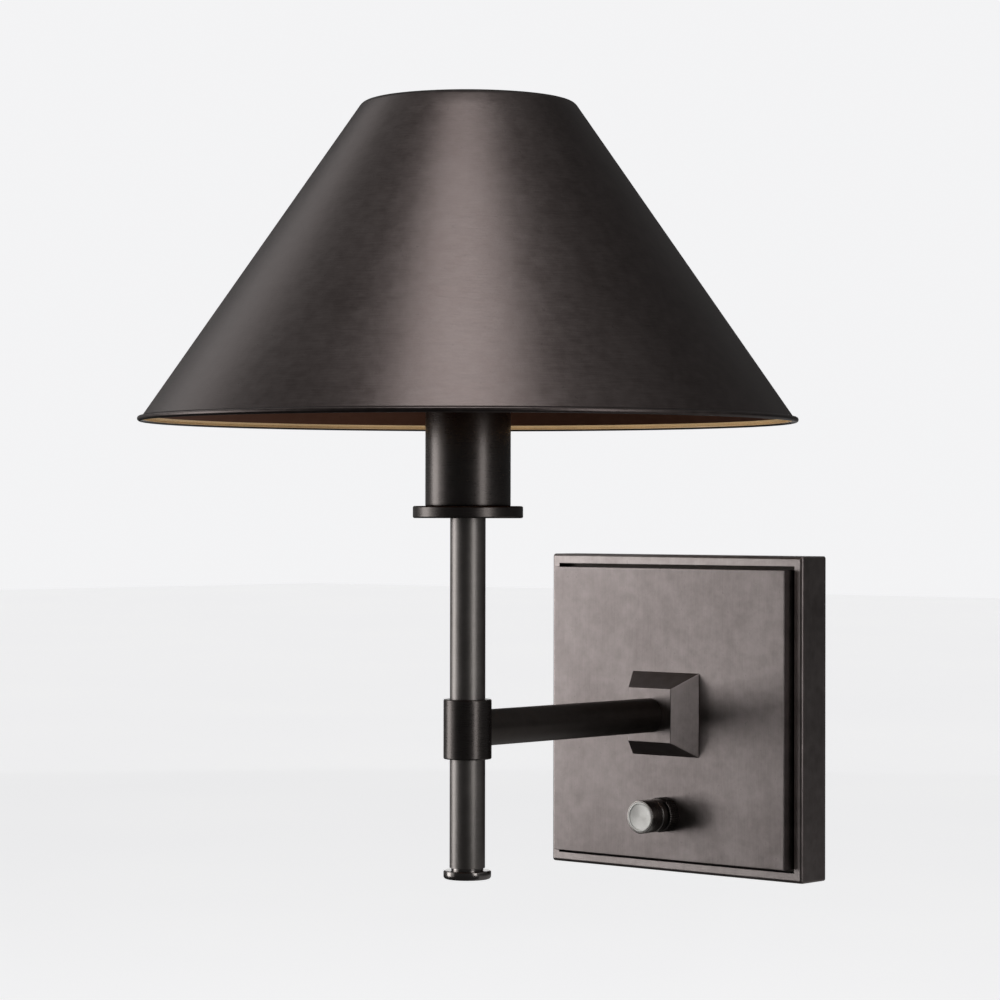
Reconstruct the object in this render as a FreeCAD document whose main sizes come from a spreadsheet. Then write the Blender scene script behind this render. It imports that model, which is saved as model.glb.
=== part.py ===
"""Wall reading lamp: square backplate, one arm, upright post and a metal cone shade.

Millimetres. The wall is the plane y = 0 and the lamp stands out from it along -Y, so most
places across the depth are given as a distance "out" from the wall. +Z is up, +X is to the
right of someone facing the wall, and the origin is the centre of the backplate on the wall.
The arm runs along the line x = 0, z = 0, and the post is parallel to Z at the arm's end.
"""
import FreeCAD, Part
import math
import os
import re

import Sketcher
from FreeCAD import Placement, Rotation, Vector

# ---------------------------------------------------------------- driving sizes

SIZES = {
    # backplate frame: a square ring with an inner ledge that carries the front plate
    "frame_width": 132.0,
    "frame_depth": 16.0,
    "frame_wall": 4.0,
    "frame_edge_round": 1.4,
    "frame_corner_round": 1.0,
    "ledge_back": 9.0,
    "ledge_thick": 2.5,
    "ledge_width": 9.0,
    "ledge_corner": 12.0,
    # front plate: a shallow tray that stands proud of the frame
    "groove_gap": 1.5,
    "plate_proud": 5.0,
    "plate_thick": 2.5,
    "plate_skirt": 2.0,
    "plate_edge_round": 0.9,
    "plate_post_radius": 3.8,
    "plate_post_inset": 6.5,
    "plate_screw_radius": 1.5,
    "plate_screw_head_radius": 2.8,
    "plate_screw_head_thick": 1.8,
    "plate_screw_bite": 5.0,
    "plate_screw_end_gap": 0.3,
    # bracket screwed to the wall box, held to the frame by grub screws above and below
    "bracket_thick": 1.6,
    "bracket_slot_margin": 4.3,
    "bracket_half_tall": 28.0,
    "bracket_half_neck": 26.0,
    "bracket_gap": 0.4,
    "tab_half_wide": 14.0,
    "tab_depth": 7.5,
    "wire_hole_radius": 19.0,
    "slot_spacing": 79.4,
    "slot_length": 16.0,
    "slot_radius": 2.4,
    "grub_out": 4.5,
    "grub_radius": 1.5,
    "grub_length": 7.0,
    "grub_sunk": 0.6,
    "earth_across": 26.0,
    "earth_down": 22.0,
    "earth_screw_radius": 2.0,
    "earth_head_radius": 3.8,
    "earth_head_thick": 2.2,
    "earth_head_lift": 2.0,
    # square pyramid boss and the hollow threaded nipple that ties plate, boss and arm
    "boss_base": 35.0,
    "boss_front": 22.4,
    "boss_height": 11.0,
    "nipple_radius": 5.0,
    "nipple_bore": 3.8,
    "nipple_in_arm": 14.0,
    "nipple_behind": 6.0,
    "washer_radius": 9.0,
    "washer_thick": 1.2,
    "locknut_flats": 15.0,
    "locknut_thick": 3.0,
    # arm, collar and post
    "arm_reach": 144.5,
    "arm_radius": 7.05,
    "collar_radius": 9.3,
    "collar_height": 23.0,
    "collar_edge_round": 0.5,
    "collar_screw_down": 5.5,
    "post_radius": 6.85,
    "post_rise": 81.3,
    "post_drop": 53.4,
    "post_bore": 5.2,
    "wire_window_radius": 4.0,
    # lipped cap that closes the post's foot
    "foot_radius": 9.2,
    "foot_thick": 3.6,
    "foot_edge_round": 1.5,
    "foot_neck_radius": 6.2,
    "foot_neck": 0.7,
    "foot_plug": 8.0,
    # socket flange, cup and the nipple through them
    "flange_radius": 21.3,
    "flange_thick": 4.7,
    "flange_edge_round": 0.7,
    "cup_radius": 16.5,
    "cup_wall": 1.2,
    "cup_height": 44.0,
    "cup_nipple_in_post": 14.0,
    # lampholder: base with a threaded entry, body with the bulb's bore
    "holder_gap": 0.2,
    "holder_base_floor": 6.0,
    "holder_base_wall": 2.9,
    "holder_floor": 4.0,
    "holder_shoulder": 2.0,
    "holder_neck": 10.0,
    "holder_neck_radius": 15.8,
    "shell_wall": 0.4,
    "shell_lip": 4.0,
    "contact_radius": 4.5,
    "contact_height": 3.0,
    "contact_tongue_radius": 2.5,
    "terminal_spot": 8.0,
    "terminal_head_radius": 2.2,
    "terminal_head_thick": 1.8,
    "terminal_shank_radius": 1.2,
    "terminal_bite": 3.0,
    # shade and what carries it
    "shade_radius": 127.0,
    "shade_top_radius": 40.9,
    "shade_height": 122.8,
    "shade_wall": 1.2,
    "shade_shoulder_round": 4.0,
    "smallest_round": 0.2,
    "shade_lip": 7.0,
    "shade_ring_height": 6.0,
    "shade_band_height": 46.0,
    "shade_bead_radius": 1.6,
    "shade_below_seat": 13.1,
    "carrier_ring_radius": 22.0,
    "carrier_root": 2.0,
    "carrier_thick": 1.5,
    "carrier_arm_wide": 6.0,
    "carrier_rise": 62.0,
    "carrier_tab": 14.0,
    "carrier_count": 3,
    "ring_nut_radius": 19.0,
    "ring_nut_height": 6.0,
    # bulb with a 26 mm screw cap
    "bulb_radius": 30.0,
    "bulb_height": 80.0,
    "bulb_glass_wall": 0.8,
    "bulb_stand": 1.0,
    "cap_radius": 13.1,
    "cap_height": 22.0,
    "cap_wall": 0.5,
    "cap_thread_depth": 0.7,
    "cap_thread_pitch": 3.6,
    "cap_thread_start": 1.76,
    "cap_insulator_height": 3.0,
    "cap_contact_radius": 4.6,
    "cap_contact_height": 1.5,
    "insulator_rim": 1.0,
    "stem_radius": 4.0,
    "stem_height": 26.0,
    "filament_radius": 0.35,
    "filament_rise": 22.0,
    "filament_half_wide": 11.0,
    "filament_bend": 2.0,
    "lead_length": 6.0,
    "lead_spread": 0.5,
    "lead_gap": 0.1,
    "lead_bend": 3.0,
    # dimmer behind the plate, with its knob in front
    "dimmer_ledge_gap": 1.4,
    "dimmer_width": 20.0,
    "dimmer_depth": 14.0,
    "dimmer_washer_thick": 0.8,
    "dimmer_washer_radius": 7.5,
    "bushing_radius": 3.5,
    "bushing_proud": 4.5,
    "rotor_radius": 7.0,
    "rotor_thick": 3.0,
    "rotor_deep": 4.0,
    "rotor_gap": 0.3,
    "shaft_radius": 3.0,
    "shaft_end_gap": 0.3,
    "dress_nut_radius": 7.2,
    "dress_nut_length": 5.5,
    "knob_radius": 6.85,
    "knob_proud": 17.1,
    "knob_start": 6.8,
    "knob_neck_radius": 5.2,
    "knob_neck_gap": 0.4,
    "knob_edge_round": 0.35,
    "knob_face_radius": 6.1,
    "knob_face_thick": 0.9,
    "knob_screw_back": 5.0,
    "knob_bore_floor": 1.5,
    # terminal block on the bracket
    "block_half_wide": 13.0,
    "block_foot": 23.0,
    "block_height": 14.0,
    "block_depth": 10.0,
    "block_pitch": 8.0,
    "block_hole_radius": 1.9,
    "block_screw_radius": 1.4,
    "block_screw_sunk": 0.5,
    "block_screw_slot": 0.8,
    # wires
    "wire_radius": 0.9,
    "wire_across": 2.4,
    "wire_bend": 4.6,
    "wire_exit": 8.0,
    "terminal_run": 6.1,
    "terminal_bend": 5.0,
    "feed_bow": 6.0,
    "feed_slope_top": 16.0,
    "feed_slope_low": 13.0,
    "feed_rise": 7.0,
    "feed_bend_top": 14.0,
    "wire_soft_bend": 12.0,
    "earth_run": 22.0,
    "earth_tail": 1.0,
    # clearances
    "thread_gap": 0.05,
    "shaft_gap": 0.05,
    "bulb_gap": 0.3,
    "weld_gap": 0.08,
}

# places worked out from the sizes above, as formulas in a second sheet
PLACES = {
    "frame_half": "frame_width / 2",
    "frame_inside": "frame_half - frame_wall",
    "ledge_front": "ledge_back + ledge_thick",
    "ledge_half": "frame_inside - ledge_width",
    "bracket_half_wide": "slot_spacing / 2 + slot_length / 2 + bracket_slot_margin",
    "plate_half": "frame_inside - groove_gap",
    "plate_face": "frame_depth + plate_proud",
    "plate_back": "plate_face - plate_thick",
    "plate_post_spot": "plate_half - plate_post_inset",
    "tab_outside": "frame_inside - bracket_gap",
    "boss_face": "plate_face + boss_height",
    "locknut_front": "plate_back - washer_thick",
    "locknut_back": "locknut_front - locknut_thick",
    "nipple_back": "plate_back - nipple_behind",
    "nipple_front": "boss_face + nipple_in_arm",
    "thread_hole": "nipple_radius + thread_gap",
    "collar_bore": "post_radius + thread_gap",
    "foot_top": "-post_drop - foot_neck",
    "foot_bottom": "foot_top - foot_thick",
    "flange_top": "post_rise + flange_thick",
    "cup_inside": "cup_radius - cup_wall",
    "cup_floor": "flange_top + cup_wall",
    "cup_top": "flange_top + cup_height",
    "holder_radius": "cup_inside - holder_gap",
    "carrier_seat": "cup_top + holder_shoulder",
    "carrier_top": "carrier_seat + carrier_thick",
    "holder_top": "carrier_seat + holder_neck",
    "cap_top": "holder_top + bulb_stand",
    "cap_foot": "cap_top - cap_height",
    "bulb_foot": "cap_foot - cap_insulator_height - cap_contact_height",
    "contact_top": "bulb_foot - bulb_gap",
    "holder_floor_top": "contact_top - contact_height",
    "holder_split": "holder_floor_top - holder_floor",
    "shell_bore": "cap_radius + bulb_gap",
    "shell_outside": "shell_bore + shell_wall",
    "holder_bore": "shell_outside + thread_gap",
    "rim_height": "carrier_seat - shade_below_seat",
    "rim_middle": "shade_radius - shade_bead_radius",
    "shade_foot": "rim_middle + shade_wall / 2",
    "shade_top": "rim_height + shade_height",
    "shade_slope": "(shade_foot - shade_top_radius) / shade_height",
    "shade_seam": "rim_height + shade_band_height",
    "shade_seam_radius": "shade_foot - shade_slope * shade_band_height",
    "shade_joint": "shade_top - shade_ring_height",
    "shade_joint_radius": "shade_top_radius + shade_slope * shade_ring_height",
    "weld_low": "carrier_seat + carrier_rise",
    "weld_high": "weld_low + carrier_tab",
    "bulb_middle": "cap_top + bulb_height - bulb_radius",
    "dimmer_down": "ledge_half - dimmer_ledge_gap - dimmer_width / 2",
    "dimmer_front": "plate_back - dimmer_washer_thick",
    "dimmer_back": "dimmer_front - dimmer_depth",
    "bushing_front": "plate_face + bushing_proud",
    "rotor_front": "dimmer_front - rotor_deep",
    "rotor_back": "rotor_front - rotor_thick",
    "dress_front": "plate_face + dress_nut_length",
    "knob_back": "dress_front + knob_neck_gap",
    "knob_shoulder": "plate_face + knob_start",
    "knob_front": "plate_face + knob_proud",
    "knob_floor": "knob_front - knob_face_thick",
    "knob_bore_end": "knob_floor - knob_bore_floor",
    "shaft_end": "knob_bore_end - shaft_end_gap",
    "shaft_flat": "shaft_radius * 0.8",
    "block_front": "bracket_thick + block_depth",
    "block_middle": "bracket_thick + block_depth / 2",
    "block_top": "block_foot + block_height",
}

doc = FreeCAD.newDocument("wall_reading_lamp")


def make_sheet(name, cells):
    sheet = doc.addObject("Spreadsheet::Sheet", name)
    for row, (alias, content) in enumerate(cells.items(), start=1):
        sheet.set("A%d" % row, alias)
        sheet.set("B%d" % row, str(content))
        sheet.setAlias("B%d" % row, alias)
    doc.recompute()
    return sheet


def bind(formula):
    """Write a formula of size and place names the way the document's expressions need it."""
    def full_name(match):
        word = match.group()
        if word in SIZES:
            return "Sizes." + word
        if word in PLACES:
            return "Places." + word
        return word
    return re.sub(r"[a-z][a-z_]*", full_name, str(formula))


sizes = make_sheet("Sizes", SIZES)
places = make_sheet("Places", {alias: "=" + bind(formula).replace("Places.", "")
                               for alias, formula in PLACES.items()})


def value(alias):
    return float((sizes if alias in SIZES else places).get(alias))


# ---------------------------------------------------------------- sketches

def new_body(name):
    body = doc.addObject("PartDesign::Body", name)
    body.Label = name
    return body


def origin_item(body, role):
    return next(item for item in body.Origin.OriginFeatures if item.Role == role)


def new_sketch(body, plane, lift="0"):
    """A sketch on one of the body's own planes, lifted along the plane's normal.

    The XZ plane's normal points out from the wall, and the XY plane's normal points up.
    """
    sketch = body.newObject("Sketcher::SketchObject", body.Name + "_sketch")
    sketch.AttachmentSupport = [(origin_item(body, plane), "")]
    sketch.MapMode = "FlatFace"
    sketch.setExpression("AttachmentOffset.Base.z", bind(lift))
    return sketch


def pin_point(sketch, geometry, point, across, up, start):
    for kind, formula, now in (("DistanceX", across, start.x), ("DistanceY", up, start.y)):
        index = sketch.addConstraint(Sketcher.Constraint(kind, -1, 1, geometry, point, now))
        sketch.setExpression("Constraints[%d]" % index, bind(formula))


def draw_outline(sketch, corners):
    """A closed outline of straight lines through corners given as (across, up) formulas."""
    count = len(corners)
    first = sketch.GeometryCount
    turn = 2 * math.pi / count
    spots = [Vector(9 * math.cos(k * turn), 9 * math.sin(k * turn), 0) for k in range(count)]
    for k in range(count):
        sketch.addGeometry(Part.LineSegment(spots[k], spots[(k + 1) % count]))
    for k in range(count):
        after = first + (k + 1) % count
        sketch.addConstraint(Sketcher.Constraint("Coincident", first + k, 2, after, 1))
    for k, (across, up) in enumerate(corners):
        pin_point(sketch, first + k, 1, across, up, spots[k])


def draw_circle(sketch, across, up, radius):
    start = Vector(2, 3, 0)
    circle = sketch.addGeometry(Part.Circle(start, Vector(0, 0, 1), 4))
    pin_point(sketch, circle, 3, across, up, start)
    index = sketch.addConstraint(Sketcher.Constraint("Radius", circle, 4))
    sketch.setExpression("Constraints[%d]" % index, bind(radius))


def rectangle(left, right, low, high):
    return [(left, low), (right, low), (right, high), (left, high)]


def square(half):
    return rectangle("-(%s)" % half, half, "-(%s)" % half, half)


def hexagon(flats):
    """Six corners of a hexagon whose distance across flats is given."""
    corner = "(%s) / 2 / cos(30)" % flats
    return [("%s * cos(%d)" % (corner, 60 * k), "%s * sin(%d)" % (corner, 60 * k))
            for k in range(6)]


# ---------------------------------------------------------------- features

def pad(body, sketch, length, both_ways=False):
    feature = body.newObject("PartDesign::Pad", body.Name + "_pad")
    feature.Profile = sketch
    feature.setExpression("Length", bind(length))
    feature.Midplane = both_ways
    return feature


def pocket(body, sketch, length, both_ways=False):
    """Cut back from the sketch, against its plane's normal."""
    feature = body.newObject("PartDesign::Pocket", body.Name + "_pocket")
    feature.Profile = sketch
    feature.setExpression("Length", bind(length))
    feature.Midplane = both_ways
    return feature


def spin(body, sketch):
    """Turn a profile once round the sketch's upright axis."""
    feature = body.newObject("PartDesign::Revolution", body.Name + "_turned")
    feature.Profile = sketch
    feature.ReferenceAxis = (sketch, ["V_Axis"])
    feature.Angle = 360
    return feature


def spin_outline(name, plane, corners):
    body = new_body(name)
    sketch = new_sketch(body, plane)
    draw_outline(sketch, corners)
    spin(body, sketch)
    return body


def round_edges(body, chosen, radius):
    """Round the edges of the body's last feature for which chosen(edge) holds."""
    doc.recompute()
    tip = body.Tip
    names = ["Edge%d" % (k + 1) for k, edge in enumerate(tip.Shape.Edges) if chosen(edge)]
    if not names:
        raise ValueError("no edge to round on " + body.Label)
    feature = body.newObject("PartDesign::Fillet", body.Name + "_round")
    feature.Base = (tip, names)
    feature.setExpression("Radius", bind(radius))
    return feature


def is_ring(edge, radius, level=None):
    """True for a full circle of this radius, at this level along its own axis."""
    curve = edge.Curve
    if not isinstance(curve, Part.Circle) or abs(curve.Radius - radius) > 0.01:
        return False
    along = curve.Center.dot(Vector(abs(curve.Axis.x), abs(curve.Axis.y), abs(curve.Axis.z)))
    return level is None or abs(along - level) < 0.01


def all_near(edge, test):
    return all(test(vertex.Point) for vertex in edge.Vertexes)


def put_at_post(body):
    """Move a body, modelled round its own Z axis, onto the post's axis."""
    body.setExpression("Placement.Base.y", bind("-arm_reach"))
    return body


def put_at_dimmer(body):
    """Move a body, modelled round its own Y axis, onto the dimmer's axis."""
    body.setExpression("Placement.Base.z", bind("-dimmer_down"))
    return body


# ---------------------------------------------------------------- plain rods and groups

def rod(name, radius, length, base, direction):
    """A plain cylinder from base, given as three formulas, along direction."""
    piece = doc.addObject("Part::Cylinder", name)
    piece.setExpression("Radius", bind(radius))
    piece.setExpression("Height", bind(length))
    piece.Placement = Placement(Vector(), Rotation(Vector(0, 0, 1), direction))
    for axis, formula in zip("xyz", base):
        piece.setExpression("Placement.Base." + axis, bind(formula))
    return piece


def join(name, pieces):
    fused = doc.addObject("Part::MultiFuse", name)
    fused.Shapes = pieces
    return fused


def group(name, pieces):
    """One node that holds several identical separate pieces."""
    together = doc.addObject("Part::Compound", name)
    together.Links = pieces
    together.Label = name
    return together


def drilled(name, blank, hole):
    cut = doc.addObject("Part::Cut", name)
    cut.Base = blank
    cut.Tool = hole
    cut.Label = name
    return cut


# ---------------------------------------------------------------- backplate

def backplate_frame():
    body = new_body("backplate_frame")
    walls = new_sketch(body, "XZ_Plane")
    draw_outline(walls, square("frame_half"))
    draw_outline(walls, square("frame_inside"))
    pad(body, walls, "frame_depth")
    half, cut = "ledge_half", "(ledge_half - ledge_corner)"
    ledge = new_sketch(body, "XZ_Plane", "ledge_back")
    draw_outline(ledge, square("frame_inside + frame_wall / 2"))
    draw_outline(ledge, [(half, "-" + cut), (half, cut), (cut, half), ("-" + cut, half),
                         ("-" + half, cut), ("-" + half, "-" + cut), ("-" + cut, "-" + half),
                         (cut, "-" + half)])
    pad(body, ledge, "ledge_thick")
    holes = new_sketch(body, "XZ_Plane", "ledge_front")
    for across, up in corner_spots():
        draw_circle(holes, across, up, "plate_screw_radius + thread_gap")
    pocket(body, holes, "ledge_thick * 1.5")
    grubs = new_sketch(body, "XY_Plane")
    draw_circle(grubs, "0", "-grub_out", "grub_radius + thread_gap")
    pocket(body, grubs, "frame_width * 1.2", both_ways=True)
    half_size = value("frame_half")
    depth = value("frame_depth")

    def outer_corner(edge):
        return all_near(edge, lambda p: abs(abs(p.x) - half_size) < 0.01
                        and abs(abs(p.z) - half_size) < 0.01) and edge.Length > 1 \
            and abs(edge.Vertexes[0].Y - edge.Vertexes[-1].Y) > 1

    round_edges(body, outer_corner, "frame_corner_round")

    def front_outer(edge):
        return all_near(edge, lambda p: abs(p.y + depth) < 0.01
                        and max(abs(p.x), abs(p.z)) > half_size - 0.01)

    round_edges(body, front_outer, "frame_edge_round")


def corner_spots():
    """Where the four screws that hold the front plate stand, as formulas."""
    return [(a + "plate_post_spot", b + "plate_post_spot") for a in ("", "-") for b in ("", "-")]


def front_plate():
    body = new_body("front_plate")
    face = new_sketch(body, "XZ_Plane", "plate_back")
    draw_outline(face, square("plate_half"))
    pad(body, face, "plate_thick")
    skirt = new_sketch(body, "XZ_Plane", "ledge_front")
    draw_outline(skirt, square("plate_half"))
    draw_outline(skirt, square("plate_half - plate_skirt"))
    pad(body, skirt, "plate_back - ledge_front + plate_thick / 2")
    posts = new_sketch(body, "XZ_Plane", "ledge_front")
    for across, up in corner_spots():
        draw_circle(posts, across, up, "plate_post_radius")
    pad(body, posts, "plate_back - ledge_front + plate_thick / 2")
    threads = new_sketch(body, "XZ_Plane", "ledge_front + plate_screw_bite + plate_screw_end_gap")
    for across, up in corner_spots():
        draw_circle(threads, across, up, "plate_screw_radius + thread_gap")
    pocket(body, threads, "plate_screw_bite + plate_screw_end_gap * 2")
    through = new_sketch(body, "XZ_Plane", "plate_face")
    draw_circle(through, "0", "0", "thread_hole")
    draw_circle(through, "0", "-dimmer_down", "bushing_radius + thread_gap")
    pocket(body, through, "plate_thick * 1.5")
    half_size = value("plate_half")
    face_out = value("plate_face")
    round_edges(body, lambda edge: all_near(edge, lambda p: abs(p.y + face_out) < 0.01
                and max(abs(p.x), abs(p.z)) > half_size - 0.01), "plate_edge_round")


def plate_screws():
    outward = Vector(0, -1, 0)
    screws = []
    for number, (across, up) in enumerate(corner_spots(), start=1):
        name = "plate_screw_%d" % number
        head_back = "-(ledge_back - plate_screw_head_thick)"
        head = rod(name + "_head", "plate_screw_head_radius", "plate_screw_head_thick",
                   (across, head_back, up), outward)
        shank = rod(name + "_shank", "plate_screw_radius",
                    "plate_screw_head_thick + ledge_thick + plate_screw_bite",
                    (across, head_back, up), outward)
        slot = rod(name + "_recess", "plate_screw_radius * 0.6", "plate_screw_head_thick * 0.5",
                   (across, head_back, up), outward)
        screws.append(drilled(name, join(name + "_solid", [head, shank]), slot))
    group("plate_screws", screws)


def wall_bracket():
    body = new_body("wall_bracket")
    wide, tall, neck = "bracket_half_wide", "bracket_half_tall", "bracket_half_neck"
    end = "tab_outside"
    plate = new_sketch(body, "XZ_Plane")
    draw_outline(plate, [(wide, "-" + tall), (wide, tall), (neck, tall), (neck, end),
                         ("-" + neck, end), ("-" + neck, tall), ("-" + wide, tall),
                         ("-" + wide, "-" + tall), ("-" + neck, "-" + tall),
                         ("-" + neck, "-" + end), (neck, "-" + end), (neck, "-" + tall)])
    pad(body, plate, "bracket_thick")
    tabs = new_sketch(body, "XZ_Plane")
    inner = "(tab_outside - bracket_thick)"
    draw_outline(tabs, rectangle("-tab_half_wide", "tab_half_wide", inner, end))
    draw_outline(tabs, rectangle("-tab_half_wide", "tab_half_wide", "-" + end, "-" + inner))
    pad(body, tabs, "tab_depth")
    cuts = new_sketch(body, "XZ_Plane", "bracket_thick")
    draw_circle(cuts, "0", "0", "wire_hole_radius")
    draw_circle(cuts, "earth_across", "-earth_down", "earth_screw_radius + thread_gap")
    for side in ("", "-"):
        draw_outline(cuts, rectangle(side + "slot_spacing / 2 - slot_length / 2 + slot_radius",
                                     side + "slot_spacing / 2 + slot_length / 2 - slot_radius",
                                     "-slot_radius", "slot_radius"))
    pocket(body, cuts, "bracket_thick * 1.5")
    ends = new_sketch(body, "XZ_Plane", "bracket_thick")
    for side in ("", "-"):
        for way in ("+", "-"):
            middle = "%sslot_spacing / 2 %s (slot_length / 2 - slot_radius)" % (side, way)
            draw_circle(ends, middle, "0", "slot_radius")
    pocket(body, ends, "bracket_thick * 1.5")
    grubs = new_sketch(body, "XY_Plane")
    draw_circle(grubs, "0", "-grub_out", "grub_radius + thread_gap")
    pocket(body, grubs, "frame_width * 1.2", both_ways=True)


def bracket_grub_screws():
    screws = []
    for name, side in (("upper", 1), ("lower", -1)):
        start = "%d * (frame_half - grub_sunk)" % side
        inward = Vector(0, 0, -side)
        blank = rod("grub_%s_blank" % name, "grub_radius", "grub_length",
                    ("0", "-grub_out", start), inward)
        recess = rod("grub_%s_recess" % name, "grub_radius * 0.55", "grub_length * 0.3",
                     ("0", "-grub_out", start), inward)
        screws.append(drilled("grub_" + name, blank, recess))
    group("bracket_grub_screws", screws)


def earth_screw():
    outward = Vector(0, -1, 0)
    place = ("earth_across", "0", "-earth_down")
    head_back = "-(bracket_thick + earth_head_lift)"
    shank = rod("earth_shank", "earth_screw_radius",
                "bracket_thick + earth_head_lift + earth_head_thick / 2", place, outward)
    head = rod("earth_head", "earth_head_radius", "earth_head_thick",
               ("earth_across", head_back, "-earth_down"), outward)
    join("earth_screw", [shank, head]).Label = "earth_screw"


# ---------------------------------------------------------------- boss, nipple and arm

def arm_boss():
    body = new_body("arm_boss")
    base = new_sketch(body, "XZ_Plane", "plate_face")
    draw_outline(base, square("boss_base / 2"))
    front = new_sketch(body, "XZ_Plane", "boss_face")
    draw_outline(front, square("boss_front / 2"))
    loft = body.newObject("PartDesign::AdditiveLoft", "arm_boss_loft")
    loft.Profile = base
    loft.Sections = [front]
    loft.Ruled = True
    hole = new_sketch(body, "XZ_Plane", "boss_face")
    draw_circle(hole, "0", "0", "thread_hole")
    pocket(body, hole, "boss_height * 1.5")


def ring_piece(name, out_from, length, outside, inside):
    """A plain ring round the arm's axis."""
    body = new_body(name)
    sketch = new_sketch(body, "XZ_Plane", out_from)
    draw_circle(sketch, "0", "0", outside)
    draw_circle(sketch, "0", "0", inside)
    pad(body, sketch, length)
    return body


def nipple_locknut():
    body = new_body("nipple_locknut")
    sketch = new_sketch(body, "XZ_Plane", "locknut_back")
    draw_outline(sketch, hexagon("locknut_flats"))
    draw_circle(sketch, "0", "0", "thread_hole")
    pad(body, sketch, "locknut_thick")


def arm_tube():
    body = ring_piece("arm_tube", "boss_face", "arm_reach - boss_face", "arm_radius",
                      "thread_hole")
    saddle = new_sketch(body, "XY_Plane")
    draw_circle(saddle, "0", "-arm_reach", "collar_radius")
    pocket(body, saddle, "arm_radius * 4", both_ways=True)


def post_collar():
    body = put_at_post(new_body("post_collar"))
    sketch = new_sketch(body, "XY_Plane", "-collar_height / 2")
    draw_circle(sketch, "0", "0", "collar_radius")
    draw_circle(sketch, "0", "0", "collar_bore")
    pad(body, sketch, "collar_height")
    radius = value("collar_radius")
    round_edges(body, lambda edge: is_ring(edge, radius), "collar_edge_round")
    window = new_sketch(body, "XZ_Plane")
    draw_circle(window, "0", "0", "wire_window_radius")
    pocket(body, window, "collar_radius * 1.5")
    screw = new_sketch(body, "YZ_Plane")
    draw_circle(screw, "0", "-collar_screw_down", "grub_radius + thread_gap")
    pocket(body, screw, "collar_radius * 1.5")


def collar_grub_screw():
    start = "-(collar_radius - grub_sunk)"
    place = (start, "-arm_reach", "-collar_screw_down")
    blank = rod("collar_grub_blank", "grub_radius", "collar_radius - grub_sunk - post_radius",
                place, Vector(1, 0, 0))
    recess = rod("collar_grub_recess", "grub_radius * 0.55", "grub_radius * 0.6",
                 place, Vector(1, 0, 0))
    drilled("collar_grub_screw", blank, recess)


def post_tube():
    body = put_at_post(new_body("post_tube"))
    sketch = new_sketch(body, "XY_Plane", "-post_drop")
    draw_circle(sketch, "0", "0", "post_radius")
    draw_circle(sketch, "0", "0", "post_bore")
    pad(body, sketch, "post_drop + post_rise")
    window = new_sketch(body, "XZ_Plane")
    draw_circle(window, "0", "0", "wire_window_radius")
    pocket(body, window, "post_radius * 1.5")


def end_cap():
    plug = "post_bore - thread_gap"
    plug_top = "-post_drop + foot_plug"
    body = put_at_post(spin_outline("end_cap", "XZ_Plane", [
        ("0", "foot_bottom"), ("foot_radius", "foot_bottom"), ("foot_radius", "foot_top"),
        ("foot_neck_radius", "foot_top"), ("foot_neck_radius", "-post_drop"),
        (plug, "-post_drop"), (plug, plug_top), ("0", plug_top)]))
    radius = value("foot_radius")
    round_edges(body, lambda edge: is_ring(edge, radius), "foot_edge_round")


# ---------------------------------------------------------------- socket

def socket_flange():
    body = put_at_post(new_body("socket_flange"))
    sketch = new_sketch(body, "XY_Plane", "post_rise")
    draw_circle(sketch, "0", "0", "flange_radius")
    draw_circle(sketch, "0", "0", "thread_hole")
    pad(body, sketch, "flange_thick")
    radius = value("flange_radius")
    round_edges(body, lambda edge: is_ring(edge, radius), "flange_edge_round")


def socket_cup():
    put_at_post(spin_outline("socket_cup", "XZ_Plane", [
        ("thread_hole", "flange_top"), ("cup_radius", "flange_top"), ("cup_radius", "cup_top"),
        ("cup_inside", "cup_top"), ("cup_inside", "cup_floor"), ("thread_hole", "cup_floor")]))


def cup_nipple():
    body = put_at_post(new_body("cup_nipple"))
    sketch = new_sketch(body, "XY_Plane", "post_rise - cup_nipple_in_post")
    draw_circle(sketch, "0", "0", "nipple_radius")
    draw_circle(sketch, "0", "0", "nipple_bore")
    pad(body, sketch, "cup_nipple_in_post + cup_floor - post_rise + holder_base_floor")


def lampholder_base():
    outside, inside = "holder_radius", "(holder_radius - holder_base_wall)"
    floor = "cup_floor + holder_base_floor"
    put_at_post(spin_outline("lampholder_base", "XZ_Plane", [
        ("thread_hole", "cup_floor"), (outside, "cup_floor"), (outside, "holder_split"),
        (inside, "holder_split"), (inside, floor), ("thread_hole", floor)]))


def lampholder_body():
    body = put_at_post(spin_outline("lampholder_body", "XZ_Plane", [
        ("0", "holder_split"), ("holder_radius", "holder_split"), ("holder_radius", "cup_top"),
        ("cup_radius", "cup_top"), ("cup_radius", "carrier_seat"),
        ("holder_neck_radius", "carrier_seat"), ("holder_neck_radius", "holder_top"),
        ("holder_bore", "holder_top"), ("holder_bore", "holder_floor_top"),
        ("0", "holder_floor_top")]))
    holes = new_sketch(body, "XY_Plane", "holder_floor_top")
    for side in ("", "-"):
        draw_circle(holes, side + "terminal_spot", "0", "terminal_shank_radius + thread_gap")
    pocket(body, holes, "holder_floor * 1.5")


def screw_shell():
    top = "holder_top - thread_gap"
    low = "holder_floor_top"
    put_at_post(spin_outline("screw_shell", "XZ_Plane", [
        ("shell_outside - shell_lip", low), ("shell_outside", low), ("shell_outside", top),
        ("shell_bore", top), ("shell_bore", low + " + shell_wall"),
        ("shell_outside - shell_lip", low + " + shell_wall")]))


def centre_contact():
    low = "holder_floor_top"
    put_at_post(spin_outline("centre_contact", "XZ_Plane", [
        ("0", low), ("contact_radius", low), ("contact_radius", low + " + shell_wall * 2"),
        ("contact_tongue_radius", low + " + shell_wall * 2"),
        ("contact_tongue_radius", "contact_top"), ("0", "contact_top")]))


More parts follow.
